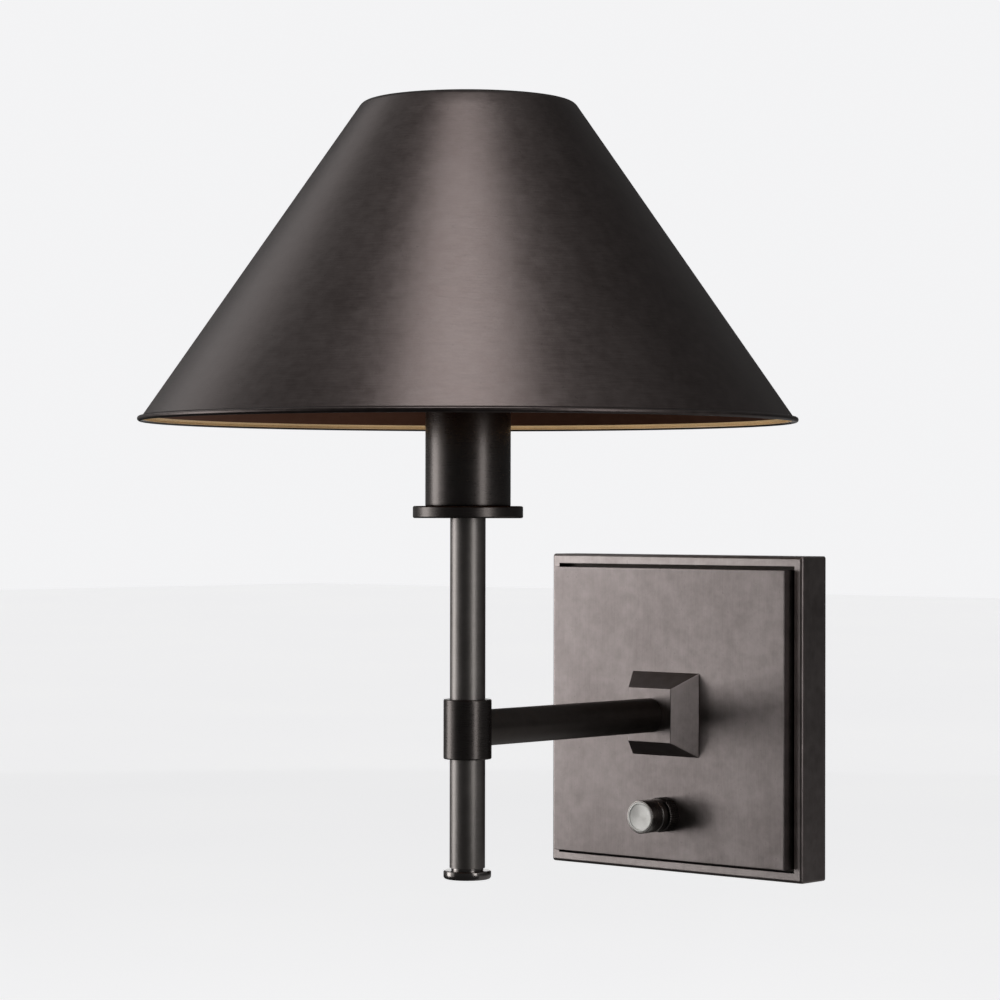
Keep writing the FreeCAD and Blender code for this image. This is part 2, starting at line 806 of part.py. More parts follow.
def lampholder_terminals():
    screws = []
    up = Vector(0, 0, 1)
    for name, side in (("live", "-"), ("neutral", "")):
        place = (side + "terminal_spot", "-arm_reach", "holder_split - terminal_head_thick")
        head = rod("terminal_%s_head" % name, "terminal_head_radius", "terminal_head_thick",
                   place, up)
        shank = rod("terminal_%s_shank" % name, "terminal_shank_radius",
                    "terminal_head_thick + terminal_bite", place, up)
        screws.append(join("terminal_" + name, [head, shank]))
    group("lampholder_terminals", screws)


# ---------------------------------------------------------------- shade

def cone_band(name, low, low_radius, high, high_radius):
    """One level band of the shade's cone, given by its outer radius at each end."""
    return put_at_post(spin_outline(name, "XZ_Plane", [
        (low_radius, low), (high_radius, high), (high_radius + " - shade_wall", high),
        (low_radius + " - shade_wall", low)]))


def shade():
    """The cone's lower band, with a rolled bead at its rim."""
    body = cone_band("shade", "rim_height", "shade_foot", "shade_seam", "shade_seam_radius")
    bead = new_sketch(body, "XZ_Plane")
    draw_circle(bead, "rim_middle", "rim_height", "shade_bead_radius")
    spin(body, bead)


def shade_upper():
    """The rest of the cone, up to the ring at its top."""
    cone_band("shade_upper", "shade_seam", "shade_seam_radius", "shade_joint",
              "shade_joint_radius")


def shade_top_ring():
    """The rounded shoulder and in-turned lip round the shade's open top."""
    lip_edge = "shade_top_radius - shade_lip"
    lip_under = "shade_top - shade_wall"
    body = put_at_post(spin_outline("shade_top_ring", "XZ_Plane", [
        ("shade_joint_radius", "shade_joint"), ("shade_top_radius", "shade_top"),
        (lip_edge, "shade_top"), (lip_edge, lip_under),
        ("shade_top_radius + shade_slope * shade_wall - shade_wall", lip_under),
        ("shade_joint_radius - shade_wall", "shade_joint")]))
    outer = value("shade_top_radius")
    top = value("shade_top")
    inner = outer + (value("shade_slope") - 1) * value("shade_wall")
    round_edges(body, lambda edge: is_ring(edge, outer, top), "shade_shoulder_round")
    round_edges(body, lambda edge: is_ring(edge, inner, top - value("shade_wall")),
                "max(shade_shoulder_round - shade_wall; smallest_round)")


def inside_shade(level):
    """Formula for the shade's inner radius at a level."""
    return "(shade_foot - shade_wall - shade_slope * (%s - rim_height))" % level


def shade_carrier():
    """A flat ring clamped on the lampholder, with strip arms up to the shade's inner wall."""
    body = put_at_post(new_body("shade_carrier"))
    ring = new_sketch(body, "XY_Plane", "carrier_seat")
    draw_circle(ring, "0", "0", "carrier_ring_radius")
    draw_circle(ring, "0", "0", "holder_neck_radius + thread_gap")
    pad(body, ring, "carrier_thick")
    strip = new_sketch(body, "XZ_Plane")
    root = "carrier_ring_radius - carrier_root"
    bend = "carrier_ring_radius"
    low = inside_shade("weld_low") + " - weld_gap"
    high = inside_shade("weld_high") + " - weld_gap"
    above = "weld_low + carrier_thick * 1.4"
    draw_outline(strip, [
        (root, "carrier_seat"), (bend, "carrier_seat"), (low, "weld_low"), (high, "weld_high"),
        (high + " - carrier_thick", "weld_high"),
        (inside_shade("weld_low + carrier_thick * 1.4") + " - weld_gap - carrier_thick", above),
        (bend, "carrier_top"), (root, "carrier_top")])
    arm = pad(body, strip, "carrier_arm_wide", both_ways=True)
    arms = body.newObject("PartDesign::PolarPattern", "shade_carrier_arms")
    arms.Originals = [arm]
    arms.Axis = (origin_item(body, "Z_Axis"), [""])
    arms.Angle = 360
    arms.setExpression("Occurrences", bind("carrier_count"))
    body.Tip = arms


def shade_ring_nut():
    body = put_at_post(new_body("shade_ring_nut"))
    sketch = new_sketch(body, "XY_Plane", "carrier_top")
    draw_circle(sketch, "0", "0", "ring_nut_radius")
    draw_circle(sketch, "0", "0", "holder_neck_radius + thread_gap")
    pad(body, sketch, "ring_nut_height")


# ---------------------------------------------------------------- bulb

def bulb_outline(radius, neck, low):
    """Half outline of the glass: a round crown that runs tangent into a tapered neck."""
    middle = value("bulb_middle")
    away = math.hypot(neck, middle - low)
    tilt = math.atan2(neck, middle - low)
    angle = math.acos(radius / away) - tilt
    touch = Vector(radius * math.sin(angle), 0, middle - radius * math.cos(angle))
    crown = Vector(0, 0, middle + radius)
    side = Vector(radius, 0, middle)
    foot = Vector(neck, 0, low)
    return [Part.Arc(crown, Vector(radius * math.sin(math.pi / 4), 0,
                                   middle + radius * math.cos(math.pi / 4)), side).toShape(),
            Part.Arc(side, Vector(radius * math.cos((math.pi / 2 - angle) / 2), 0,
                                  middle - radius * math.sin((math.pi / 2 - angle) / 2)),
                     touch).toShape(),
            Part.LineSegment(touch, foot).toShape(),
            Part.LineSegment(foot, Vector(0, 0, low)).toShape(),
            Part.LineSegment(Vector(0, 0, low), crown).toShape()]


def turned_solid(edges):
    face = Part.Face(Part.Wire(edges))
    return face.revolve(Vector(), Vector(0, 0, 1), 360)


def add_shape(name, shape):
    piece = doc.addObject("Part::Feature", name)
    piece.Label = name
    piece.Shape = shape
    return piece


def bulb_glass():
    wall = value("bulb_glass_wall")
    neck = value("cap_radius")
    low = value("cap_top")
    outside = turned_solid(bulb_outline(value("bulb_radius"), neck, low))
    inside = turned_solid(bulb_outline(value("bulb_radius") - wall, neck - wall, low + wall))
    put_at_post(add_shape("bulb_glass", outside.cut(inside)))


def bulb_cap():
    """Screw cap: a thin shell whose rounded thread stands as rings one pitch apart."""
    threaded = value("cap_height") - 2 * value("cap_thread_start")
    count = int(threaded / value("cap_thread_pitch"))
    outer = []
    start = "(cap_foot + cap_thread_start)"
    for k in range(count):
        ring = "%s + cap_thread_pitch * %d" % (start, k)
        outer.append(("cap_radius - cap_thread_depth", ring))
        outer.append(("cap_radius", ring + " + cap_thread_pitch * 0.35"))
        outer.append(("cap_radius", ring + " + cap_thread_pitch * 0.65"))
    inner = "cap_radius - cap_thread_depth - cap_wall"
    end = "%s + cap_thread_pitch * %d" % (start, count)
    put_at_post(spin_outline("bulb_cap", "XZ_Plane", [
        (inner, "cap_foot"), ("cap_radius - cap_thread_depth", "cap_foot")] + outer + [
        ("cap_radius - cap_thread_depth", end), ("cap_radius - cap_thread_depth", "cap_top"),
        (inner, "cap_top")]))


def bulb_insulator():
    edge = "cap_radius - cap_thread_depth"
    low = "cap_foot - cap_insulator_height"
    put_at_post(spin_outline("bulb_insulator", "XZ_Plane", [
        ("0", low), ("cap_contact_radius + insulator_rim", low), (edge, "cap_foot"), ("0", "cap_foot")]))


def bulb_contact():
    low = "bulb_foot"
    high = "bulb_foot + cap_contact_height"
    put_at_post(spin_outline("bulb_contact", "XZ_Plane", [
        ("0", low), ("cap_contact_radius * 0.6", low), ("cap_contact_radius", high),
        ("0", high)]))


def bulb_stem():
    low = "cap_top + bulb_glass_wall"
    put_at_post(spin_outline("bulb_stem", "XZ_Plane", [
        ("0", low), ("stem_radius * 1.6", low), ("stem_radius", low + " + stem_height * 0.25"),
        ("stem_radius * 0.5", low + " + stem_height"), ("0", low + " + stem_height")]))


def tangent_path(points, bends):
    """Straight runs through points, joined by arcs of the given radii at the inner points."""
    edges = []
    start = points[0]
    for k in range(1, len(points) - 1):
        before = (points[k - 1] - points[k]).normalize()
        after = (points[k + 1] - points[k]).normalize()
        half_turn = (math.pi - before.getAngle(after)) / 2
        back = bends[k - 1] * math.tan(half_turn)
        first = points[k] + before * back
        last = points[k] + after * back
        inward = (before + after).normalize()
        middle = points[k] + inward * (bends[k - 1] / math.cos(half_turn) - bends[k - 1])
        if (first - start).Length > 1e-4:
            edges.append(Part.LineSegment(start, first).toShape())
        edges.append(Part.Arc(first, middle, last).toShape())
        start = last
    edges.append(Part.LineSegment(start, points[-1]).toShape())
    return Part.Wire(edges)


def round_wire(name, points, bends, radius):
    path = tangent_path(points, bends)
    along = (points[1] - points[0]).normalize()
    section = Part.Wire(Part.Circle(points[0], along, radius).toShape())
    solid = path.makePipeShell([section], True, False)
    expected = math.pi * radius ** 2 * path.Length
    print("%s: %.1f mm long, volume %.4f of its section times length, bends %s"
          % (name, path.Length, solid.Volume / expected, bends))
    return add_shape(name, solid)


def bulb_filament():
    """Two leads that rise from the stem and carry a level filament across the bulb."""
    radius = value("filament_radius")
    low = value("cap_top") + value("bulb_glass_wall") + value("stem_height") * 0.5
    high = low + value("filament_rise")
    wide = value("filament_half_wide")
    root = value("stem_radius") + radius + value("lead_gap")
    spread = root + value("lead_spread")
    lead_top = low + value("lead_length")
    points = [Vector(-root, 0, low), Vector(-spread, 0, lead_top), Vector(-wide, 0, high),
              Vector(wide, 0, high), Vector(spread, 0, lead_top), Vector(root, 0, low)]
    lead_bend, bend = value("lead_bend"), value("filament_bend")
    put_at_post(round_wire("bulb_filament", points, [lead_bend, bend, bend, lead_bend], radius))


# ---------------------------------------------------------------- dimmer and knob

def dimmer_body():
    """Box behind the plate, with a threaded bushing through it and a space for the rotor."""
    body = put_at_dimmer(new_body("dimmer_body"))
    box = new_sketch(body, "XZ_Plane", "dimmer_back")
    draw_outline(box, square("dimmer_width / 2"))
    pad(body, box, "dimmer_depth")
    bushing = new_sketch(body, "XZ_Plane", "dimmer_front - rotor_deep / 4")
    draw_circle(bushing, "0", "0", "bushing_radius")
    pad(body, bushing, "bushing_front - dimmer_front + rotor_deep / 4")
    bore = new_sketch(body, "XZ_Plane", "bushing_front")
    draw_circle(bore, "0", "0", "shaft_radius + shaft_gap")
    pocket(body, bore, "bushing_front - rotor_front + rotor_thick / 2")
    space = new_sketch(body, "XZ_Plane", "rotor_front + rotor_gap")
    draw_circle(space, "0", "0", "rotor_radius + rotor_gap")
    pocket(body, space, "rotor_thick + rotor_gap * 2")


def dimmer_ring(name, out_from, length, outside, inside):
    return put_at_dimmer(ring_piece(name, out_from, length, outside, inside))


def dress_nut():
    body = dimmer_ring("dress_nut", "plate_face", "dress_nut_length", "dress_nut_radius",
                       "bushing_radius + thread_gap")
    radius = value("dress_nut_radius")
    front = -value("dress_front")
    round_edges(body, lambda edge: is_ring(edge, radius, front), "knob_edge_round * 2")


def dimmer_shaft():
    """Shaft with the rotor inside the dimmer and a flat where the knob's screw bears."""
    end = "-shaft_end"
    body = put_at_dimmer(spin_outline("dimmer_shaft", "XY_Plane", [
        ("0", "-rotor_back"), ("rotor_radius", "-rotor_back"), ("rotor_radius", "-rotor_front"),
        ("shaft_radius", "-rotor_front"), ("shaft_radius", end), ("0", end)]))
    flat = new_sketch(body, "XZ_Plane", "knob_bore_end")
    draw_outline(flat, rectangle("-shaft_radius", "shaft_radius", "-shaft_radius * 1.1",
                                 "-shaft_flat"))
    pocket(body, flat, "knob_bore_end - knob_shoulder")


def knob():
    bore = "shaft_radius + thread_gap"
    body = put_at_dimmer(spin_outline("knob", "XY_Plane", [
        (bore, "-knob_back"), ("knob_neck_radius", "-knob_back"),
        ("knob_neck_radius", "-knob_shoulder"), ("knob_radius", "-knob_shoulder"),
        ("knob_radius", "-knob_front"), ("knob_face_radius + thread_gap", "-knob_front"),
        ("knob_face_radius + thread_gap", "-knob_floor"), ("0", "-knob_floor"),
        ("0", "-knob_bore_end"), (bore, "-knob_bore_end")]))
    radius = value("knob_radius")
    round_edges(body, lambda edge: is_ring(edge, radius), "knob_edge_round")
    screw = new_sketch(body, "XY_Plane")
    draw_circle(screw, "0", "-(knob_front - knob_screw_back)", "grub_radius + thread_gap")
    pocket(body, screw, "knob_radius * 1.5")


def knob_face_disc():
    put_at_dimmer(spin_outline("knob_face_disc", "XY_Plane", [
        ("0", "-knob_floor"), ("knob_face_radius", "-knob_floor"),
        ("knob_face_radius", "-knob_front"), ("0", "-knob_front")]))


def knob_grub_screw():
    flat = "-dimmer_down - shaft_flat"
    place = ("0", "-(knob_front - knob_screw_back)", flat)
    length = "knob_radius - shaft_flat - grub_sunk * 0.5"
    blank = rod("knob_grub_blank", "grub_radius", length, place, Vector(0, 0, -1))
    mouth = ("0", "-(knob_front - knob_screw_back)", flat + " - (%s)" % length)
    recess = rod("knob_grub_recess", "grub_radius * 0.55", "grub_radius * 0.6", mouth,
                 Vector(0, 0, 1))
    drilled("knob_grub_screw", blank, recess)


# ---------------------------------------------------------------- terminal block and wires

def block_spots():
    """Middle of each way of the block: dimmer feed, neutral, earth."""
    return ["(wire_across + %d * block_pitch)" % k for k in (-1, 0, 1)]


def block_levels():
    """Heights of the two screws in each way, as formulas."""
    return ["block_foot + block_height / 4", "block_foot + block_height * 3 / 4"]


def terminal_block():
    body = new_body("terminal_block")
    box = new_sketch(body, "XZ_Plane", "bracket_thick")
    draw_outline(box, rectangle("wire_across - block_half_wide", "wire_across + block_half_wide",
                                "block_foot", "block_top"))
    pad(body, box, "block_depth")
    ways = new_sketch(body, "XY_Plane", "block_top")
    for spot in block_spots():
        draw_circle(ways, spot, "-block_middle", "block_hole_radius")
    pocket(body, ways, "block_height * 1.5")
    screws = new_sketch(body, "XZ_Plane", "block_front")
    for spot in block_spots():
        for level in block_levels():
            draw_circle(screws, spot, level, "block_screw_radius + thread_gap")
    pocket(body, screws, "block_depth / 2")


def terminal_block_screws():
    inward = Vector(0, 1, 0)
    screws = []
    front = "block_front - block_screw_sunk"
    for way, spot in enumerate(block_spots(), start=1):
        for row, level in enumerate(block_levels(), start=1):
            name = "block_screw_%d_%d" % (way, row)
            place = (spot, "-(%s)" % front, level)
            blank = rod(name + "_blank", "block_screw_radius",
                        front + " - block_middle - wire_radius", place, inward)
            recess = rod(name + "_recess", "block_screw_radius / 2", "block_screw_slot",
                         place, inward)
            screws.append(drilled(name, blank, recess))
    group("terminal_block_screws", screws)


def lamp_wire(name, side, start):
    """A wire from start, through the arm and up the post, to a lampholder terminal."""
    across = side * value("wire_across")
    bend = value("wire_bend")
    reach = value("arm_reach")
    terminal = side * value("terminal_spot")
    inside_holder = value("cup_floor") + value("holder_base_floor")
    end = value("holder_split") - value("terminal_head_thick")
    behind = value("block_middle")
    points = [Vector(across, -behind, start), Vector(across, -behind, 0),
              Vector(across, -reach, 0), Vector(across, -reach, inside_holder),
              Vector(terminal, -reach, end - value("terminal_run")),
              Vector(terminal, -reach, end)]
    last = value("terminal_bend")
    round_wire(name, points, [bend, bend, last, last], value("wire_radius"))


def feed_wire(inside_block, out, dimmer_top):
    """From the block's first way down to the dimmer, bowed aside past the nut."""
    across = value("wire_across") - value("block_pitch")
    bow = across - value("feed_bow")
    below_block = value("block_foot") - value("wire_exit")
    above_dimmer = dimmer_top + value("feed_rise")
    top_bend, low_bend = value("feed_bend_top"), value("wire_soft_bend")
    round_wire("dimmer_feed_wire", [
        Vector(across, out, inside_block), Vector(across, out, below_block),
        Vector(bow, out, below_block - value("feed_slope_top")),
        Vector(bow, out, above_dimmer + value("feed_slope_low")),
        Vector(across, out, above_dimmer), Vector(across, out, dimmer_top)],
        [top_bend, top_bend, low_bend, low_bend], value("wire_radius"))


def earth_wire(inside_block, out):
    """From the block's last way back to the bracket, under the earth screw's head."""
    radius = value("wire_radius")
    across = value("wire_across") + value("block_pitch")
    beside_screw = value("earth_across") - value("earth_screw_radius") - radius
    on_bracket = -(value("bracket_thick") + radius)
    screw_level = -value("earth_down")
    bend = value("wire_soft_bend")
    round_wire("earth_wire", [
        Vector(across, out, inside_block),
        Vector(across, out, value("block_foot") - value("wire_exit")),
        Vector(beside_screw, on_bracket, screw_level + value("earth_run")),
        Vector(beside_screw, on_bracket, screw_level - value("earth_tail"))],
        [bend, bend], radius)


def wires():
    inside_block = value("block_foot") + value("block_height") * 0.4
    block_out = -value("block_middle")
    dimmer_top = -value("dimmer_down") + value("dimmer_width") / 2
    lamp_wire("lamp_live_wire", -1, dimmer_top)
    lamp_wire("lamp_neutral_wire", 1, inside_block)
    feed_wire(inside_block, block_out, dimmer_top)
    earth_wire(inside_block, block_out)


# ---------------------------------------------------------------- build

def build():
    backplate_frame()
    front_plate()
    plate_screws()
    wall_bracket()
    bracket_grub_screws()
    earth_screw()
    arm_boss()
    ring_piece("arm_nipple", "nipple_back", "nipple_front - nipple_back", "nipple_radius",
               "nipple_bore")
    ring_piece("nipple_washer", "locknut_front", "washer_thick", "washer_radius", "thread_hole")
    nipple_locknut()
    arm_tube()
    post_collar()
    collar_grub_screw()
    post_tube()
    end_cap()
    socket_flange()
    socket_cup()
    cup_nipple()
    lampholder_base()
    lampholder_body()
    screw_shell()
    centre_contact()
    lampholder_terminals()
    shade()
    shade_upper()
    shade_top_ring()
    shade_carrier()
    shade_ring_nut()
    bulb_glass()
    bulb_cap()
    bulb_insulator()
    bulb_contact()
    bulb_stem()
    bulb_filament()
    dimmer_body()
    dimmer_ring("dimmer_washer", "dimmer_front", "dimmer_washer_thick", "dimmer_washer_radius",
                "bushing_radius + thread_gap")
    dress_nut()
    dimmer_shaft()
    knob()
    knob_face_disc()
    knob_grub_screw()
    terminal_block()
    terminal_block_screws()
    wires()
    doc.recompute()


NODES = [
    "backplate_frame", "front_plate", "plate_screws", "wall_bracket", "bracket_grub_screws",
    "earth_screw", "arm_boss", "arm_nipple", "nipple_washer", "nipple_locknut", "arm_tube",
    "post_collar", "collar_grub_screw", "post_tube", "end_cap", "socket_flange", "socket_cup",
    "cup_nipple", "lampholder_base", "lampholder_body", "screw_shell", "centre_contact",
    "lampholder_terminals", "shade", "shade_upper", "shade_top_ring", "shade_carrier",
    "shade_ring_nut",
    "bulb_glass", "bulb_cap", "bulb_insulator", "bulb_contact", "bulb_stem", "bulb_filament",
    "dimmer_body", "dimmer_washer", "dress_nut", "dimmer_shaft", "knob", "knob_face_disc",
    "knob_grub_screw", "terminal_block", "terminal_block_screws", "lamp_live_wire",
    "lamp_neutral_wire", "dimmer_feed_wire", "earth_wire",
]


def check_all():
    for item in doc.Objects:
        if "Invalid" in item.State or "Error" in item.State:
            raise RuntimeError("%s did not build: %s" % (item.Name, item.State))
    for name in NODES:
        shape = doc.getObjectsByLabel(name)[0].Shape
        if shape.isNull() or not shape.isValid() or not shape.Solids:
            raise RuntimeError("%s has no valid solid" % name)


def write_all():
    os.makedirs("parts", exist_ok=True)
    for name in NODES:
        doc.getObjectsByLabel(name)[0].Shape.exportStep("parts/%s.step" % name)


build()
check_all()
write_all()
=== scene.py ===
"""Looks of the wall reading lamp: studio, camera, materials and the finely made pieces.

The scene is in metres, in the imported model's own frame: +Z up, the wall is y = 0 and the lamp
stands out along -Y. The outlines of pieces are in millimetres. Round pieces turn about the post's
or the dimmer's axis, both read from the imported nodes, and the arm lies on the Y axis.
"""
import math

import bmesh
import bpy
from mathutils import Matrix, Vector


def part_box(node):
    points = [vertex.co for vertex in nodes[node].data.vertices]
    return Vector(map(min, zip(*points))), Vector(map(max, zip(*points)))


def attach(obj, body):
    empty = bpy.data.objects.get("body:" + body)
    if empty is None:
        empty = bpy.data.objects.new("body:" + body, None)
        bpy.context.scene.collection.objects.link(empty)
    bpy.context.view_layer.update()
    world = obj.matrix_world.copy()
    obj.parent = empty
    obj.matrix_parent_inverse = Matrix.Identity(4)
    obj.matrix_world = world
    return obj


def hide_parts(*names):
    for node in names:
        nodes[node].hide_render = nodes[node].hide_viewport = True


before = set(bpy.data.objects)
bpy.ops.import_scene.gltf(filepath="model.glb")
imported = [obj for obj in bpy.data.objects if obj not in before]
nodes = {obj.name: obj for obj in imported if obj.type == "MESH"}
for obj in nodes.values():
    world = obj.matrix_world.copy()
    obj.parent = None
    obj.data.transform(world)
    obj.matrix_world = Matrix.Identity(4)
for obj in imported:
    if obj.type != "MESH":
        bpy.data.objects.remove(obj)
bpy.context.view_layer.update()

MM = 0.001


# ---------------------------------------------------------------- places read from the frame

def middle(name):
    low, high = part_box(name)
    return (low + high) / 2


POST = middle("post_tube")
DIMMER = middle("dimmer_shaft")


# ---------------------------------------------------------------- camera

CAMERA_SPOT = Vector((0.80804, -1.04883, 0.08275))
CAMERA_TURN = math.radians(41.198)
CAMERA_PITCH = math.radians(0.264)
CAMERA_ROLL = math.radians(0.107)
CAMERA_LENS = 113.12
SENSOR = 36.0


def make_camera():
    data = bpy.data.cameras.new("photo_camera")
    data.lens = CAMERA_LENS
    data.sensor_width = SENSOR
    camera = bpy.data.objects.new("photo_camera", data)
    bpy.context.scene.collection.objects.link(camera)
    ahead = Vector((-math.sin(CAMERA_TURN) * math.cos(CAMERA_PITCH),
                    math.cos(CAMERA_TURN) * math.cos(CAMERA_PITCH), math.sin(CAMERA_PITCH)))
    level = Vector((math.cos(CAMERA_TURN), math.sin(CAMERA_TURN), 0))
    upright = level.cross(ahead)
    right = level * math.cos(CAMERA_ROLL) + upright * math.sin(CAMERA_ROLL)
    up = upright * math.cos(CAMERA_ROLL) - level * math.sin(CAMERA_ROLL)
    camera.matrix_world = Matrix.LocRotScale(
        CAMERA_SPOT, Matrix((right, up, -ahead)).transposed().to_quaternion(), None)
    bpy.context.scene.camera = camera


make_camera()


# ---------------------------------------------------------------- shader helpers

def add(tree, kind, **settings):
    """A node whose inputs, named with _ for a space, are set to a value or linked to a socket.

    A name that isn't an input is set as the node's own property.
    """
    item = tree.nodes.new("ShaderNode" + kind)
    for key, setting in settings.items():
        socket = item.inputs.get(key.replace("_", " "))
        if socket is None or key.islower():
            setattr(item, key, setting)
        elif isinstance(setting, bpy.types.NodeSocket):
            tree.links.new(setting, socket)
        else:
            socket.default_value = setting
    return item


def maths(tree, operation, first, second, clamp=False):
    item = tree.nodes.new("ShaderNodeMath")
    item.operation = operation
    item.use_clamp = clamp
    for socket, setting in zip(item.inputs, (first, second)):
        if isinstance(setting, bpy.types.NodeSocket):
            tree.links.new(setting, socket)
        else:
            socket.default_value = setting
    return item.outputs[0]


def blend_colours(tree, factor, first, second):
    item = tree.nodes.new("ShaderNodeMix")
    item.data_type = "RGBA"
    sockets = [item.inputs["Factor"]] + [s for s in item.inputs if s.type == "RGBA"]
    for socket, setting in zip(sockets, (factor, first, second)):
        if isinstance(setting, bpy.types.NodeSocket):
            tree.links.new(setting, socket)
        elif isinstance(setting, tuple):
            socket.default_value = (*setting, 1)
        else:
            socket.default_value = setting
    return next(s for s in item.outputs if s.type == "RGBA")


def spread(tree, source, low, high, to_low=0.0, to_high=1.0):
    """Map source from low..high to to_low..to_high, and clamp it."""
    return add(tree, "MapRange", Value=source, From_Min=low, From_Max=high, To_Min=to_low,
               To_Max=to_high).outputs[0]


def noise(tree, vector, scale, detail, roughness):
    return add(tree, "TexNoise", Vector=vector, Scale=scale, Detail=detail,
               Roughness=roughness).outputs[0]


def own_place(tree):
    """Object coordinates, which stay with the piece when its body moves."""
    return add(tree, "TexCoord").outputs["Object"]


def start_material(name, **settings):
    material = bpy.data.materials.new(name)
    material.use_nodes = True
    tree = material.node_tree
    shader = next(n for n in tree.nodes if n.type == "BSDF_PRINCIPLED")
    for key, setting in settings.items():
        if isinstance(setting, tuple):
            setting = (*setting, 1)
        shader.inputs[key.replace("_", " ")].default_value = setting
    return material, tree, shader


def bump(tree, shader, height, strength, distance):
    tree.links.new(add(tree, "Bump", Height=height, Strength=strength,
                       Distance=distance).outputs[0], shader.inputs["Normal"])


def stretched_place(tree, axis, centre, around, along):
    """Coordinates whose cells are long round an axis, and narrow along it and outwards from it.

    One cell is 1 / around radians long and 1 / along metres wide.
    """
    place = add(tree, "VectorMath", operation="SUBTRACT")
    tree.links.new(own_place(tree), place.inputs[0])
    place.inputs[1].default_value = centre
    flat = add(tree, "VectorMath", operation="MULTIPLY")
    tree.links.new(place.outputs[0], flat.inputs[0])
    flat.inputs[1].default_value = [0.0 if k == axis else 1.0 for k in range(3)]
    unit = add(tree, "VectorMath", operation="NORMALIZE")
    tree.links.new(flat.outputs[0], unit.inputs[0])
    ring = add(tree, "VectorMath", operation="SCALE")
    tree.links.new(unit.outputs[0], ring.inputs[0])
    ring.inputs["Scale"].default_value = around
    radius = add(tree, "VectorMath", operation="LENGTH")
    tree.links.new(flat.outputs[0], radius.inputs[0])
    parts = add(tree, "SeparateXYZ", Vector=place.outputs[0])
    level = maths(tree, "SUBTRACT", parts.outputs[axis], radius.outputs["Value"])
    line = add(tree, "CombineXYZ")
    tree.links.new(maths(tree, "MULTIPLY", level, along), line.inputs[axis])
    total = add(tree, "VectorMath", operation="ADD")
    tree.links.new(ring.outputs[0], total.inputs[0])
    tree.links.new(line.outputs[0], total.inputs[1])
    return total.outputs[0]


# ---------------------------------------------------------------- metal finishes

CLOUDS_WIDE = 34.0
CLOUDS_FINE = 210.0
SPECKS = 420.0
CLOUD_RELIEF = 2.5
BRONZE_RELIEF = 0.00012


def weighted(tree, first, second, share):
    """The mean of two values, where share is the weight of the first."""
    return maths(tree, "ADD", maths(tree, "MULTIPLY", first, share),
                 maths(tree, "MULTIPLY", second, 1.0 - share))


def bronze(name, dark, light, rough, brushing, tangent=None, patina=0.5, coat=0.0, relief=0.16):
    """Patinated metal: two close browns, fine brushing in bump and gloss, and clouded patina.

    rough is the lowest and highest roughness. brushing(tree) gives the coordinates of the strokes,
    tangent is the axis that they run round, and patina is the share of the clouds in the colour.
    """
    material, tree, shader = start_material(name, Metallic=1.0, Coat_Weight=coat,
                                            Coat_Roughness=0.12)
    here = own_place(tree)
    strokes = noise(tree, brushing(tree), 1.0, 4.0, 0.65)
    clouds = weighted(tree, noise(tree, here, CLOUDS_WIDE, 5.0, 0.6),
                      noise(tree, here, CLOUDS_FINE, 4.0, 0.6), 0.5)
    specks = noise(tree, here, SPECKS, 3.0, 0.7)
    tone = weighted(tree, spread(tree, clouds, 0.36, 0.64), spread(tree, strokes, 0.25, 0.75),
                    patina)
    colour = blend_colours(tree, tone, dark, light)
    spots = spread(tree, specks, 0.64, 0.74, 0.0, 0.35)
    colour = blend_colours(tree, spots, colour, tuple(0.45 * v for v in dark))
    tree.links.new(colour, shader.inputs["Base Color"])
    gloss = weighted(tree, strokes, clouds, 0.55)
    tree.links.new(spread(tree, gloss, 0.3, 0.7, *rough), shader.inputs["Roughness"])
    uneven = maths(tree, "ADD", strokes, maths(tree, "MULTIPLY", clouds, CLOUD_RELIEF))
    bump(tree, shader, uneven, relief, BRONZE_RELIEF)
    if tangent:
        shader.inputs["Anisotropic"].default_value = 0.45
        turn = add(tree, "Tangent", direction_type="RADIAL", axis=tangent)
        tree.links.new(turn.outputs[0], shader.inputs["Tangent"])
    return material


def round_shade(tree):
    return stretched_place(tree, 2, POST, 14.0, 1700.0)


def round_post(tree):
    return stretched_place(tree, 2, POST, 2.5, 6500.0)


def round_arm(tree):
    return stretched_place(tree, 1, (0, 0, 0), 2.0, 6500.0)


def round_dimmer(tree):
    return stretched_place(tree, 1, DIMMER, 1.5, 5200.0)


def upright_strokes(tree):
    place = add(tree, "VectorMath", operation="MULTIPLY")
    tree.links.new(own_place(tree), place.inputs[0])
    place.inputs[1].default_value = (2400.0, 2400.0, 90.0)
    return place.outputs[0]


shade_metal = bronze("shade_metal", (0.075, 0.060, 0.057), (0.125, 0.105, 0.101),
                     (0.27, 0.40), round_shade, "Z", patina=0.55)
shade_inside = bronze("shade_inside", (0.200, 0.085, 0.052), (0.290, 0.140, 0.092),
                      (0.46, 0.58), round_shade, patina=0.5)
turned_metal = bronze("turned_metal", (0.080, 0.069, 0.065), (0.118, 0.106, 0.100),
                      (0.24, 0.33), round_post, "Z", patina=0.5, coat=0.1, relief=0.05)
post_metal = bronze("post_metal", (0.200, 0.182, 0.172), (0.290, 0.268, 0.255),
                    (0.30, 0.42), round_post, "Z", patina=0.5, relief=0.05)
foot_metal = bronze("foot_metal", (0.200, 0.182, 0.172), (0.290, 0.268, 0.255),
                    (0.14, 0.22), round_post, "Z", patina=0.5, coat=0.3, relief=0.03)
arm_metal = bronze("arm_metal", (0.082, 0.070, 0.065), (0.126, 0.111, 0.101),
                   (0.34, 0.48), round_arm, "Y", patina=0.5, relief=0.06)
knob_metal = bronze("knob_metal", (0.220, 0.202, 0.190), (0.310, 0.290, 0.275),
                    (0.20, 0.30), round_dimmer, "Y", patina=0.4, coat=0.2, relief=0.05)
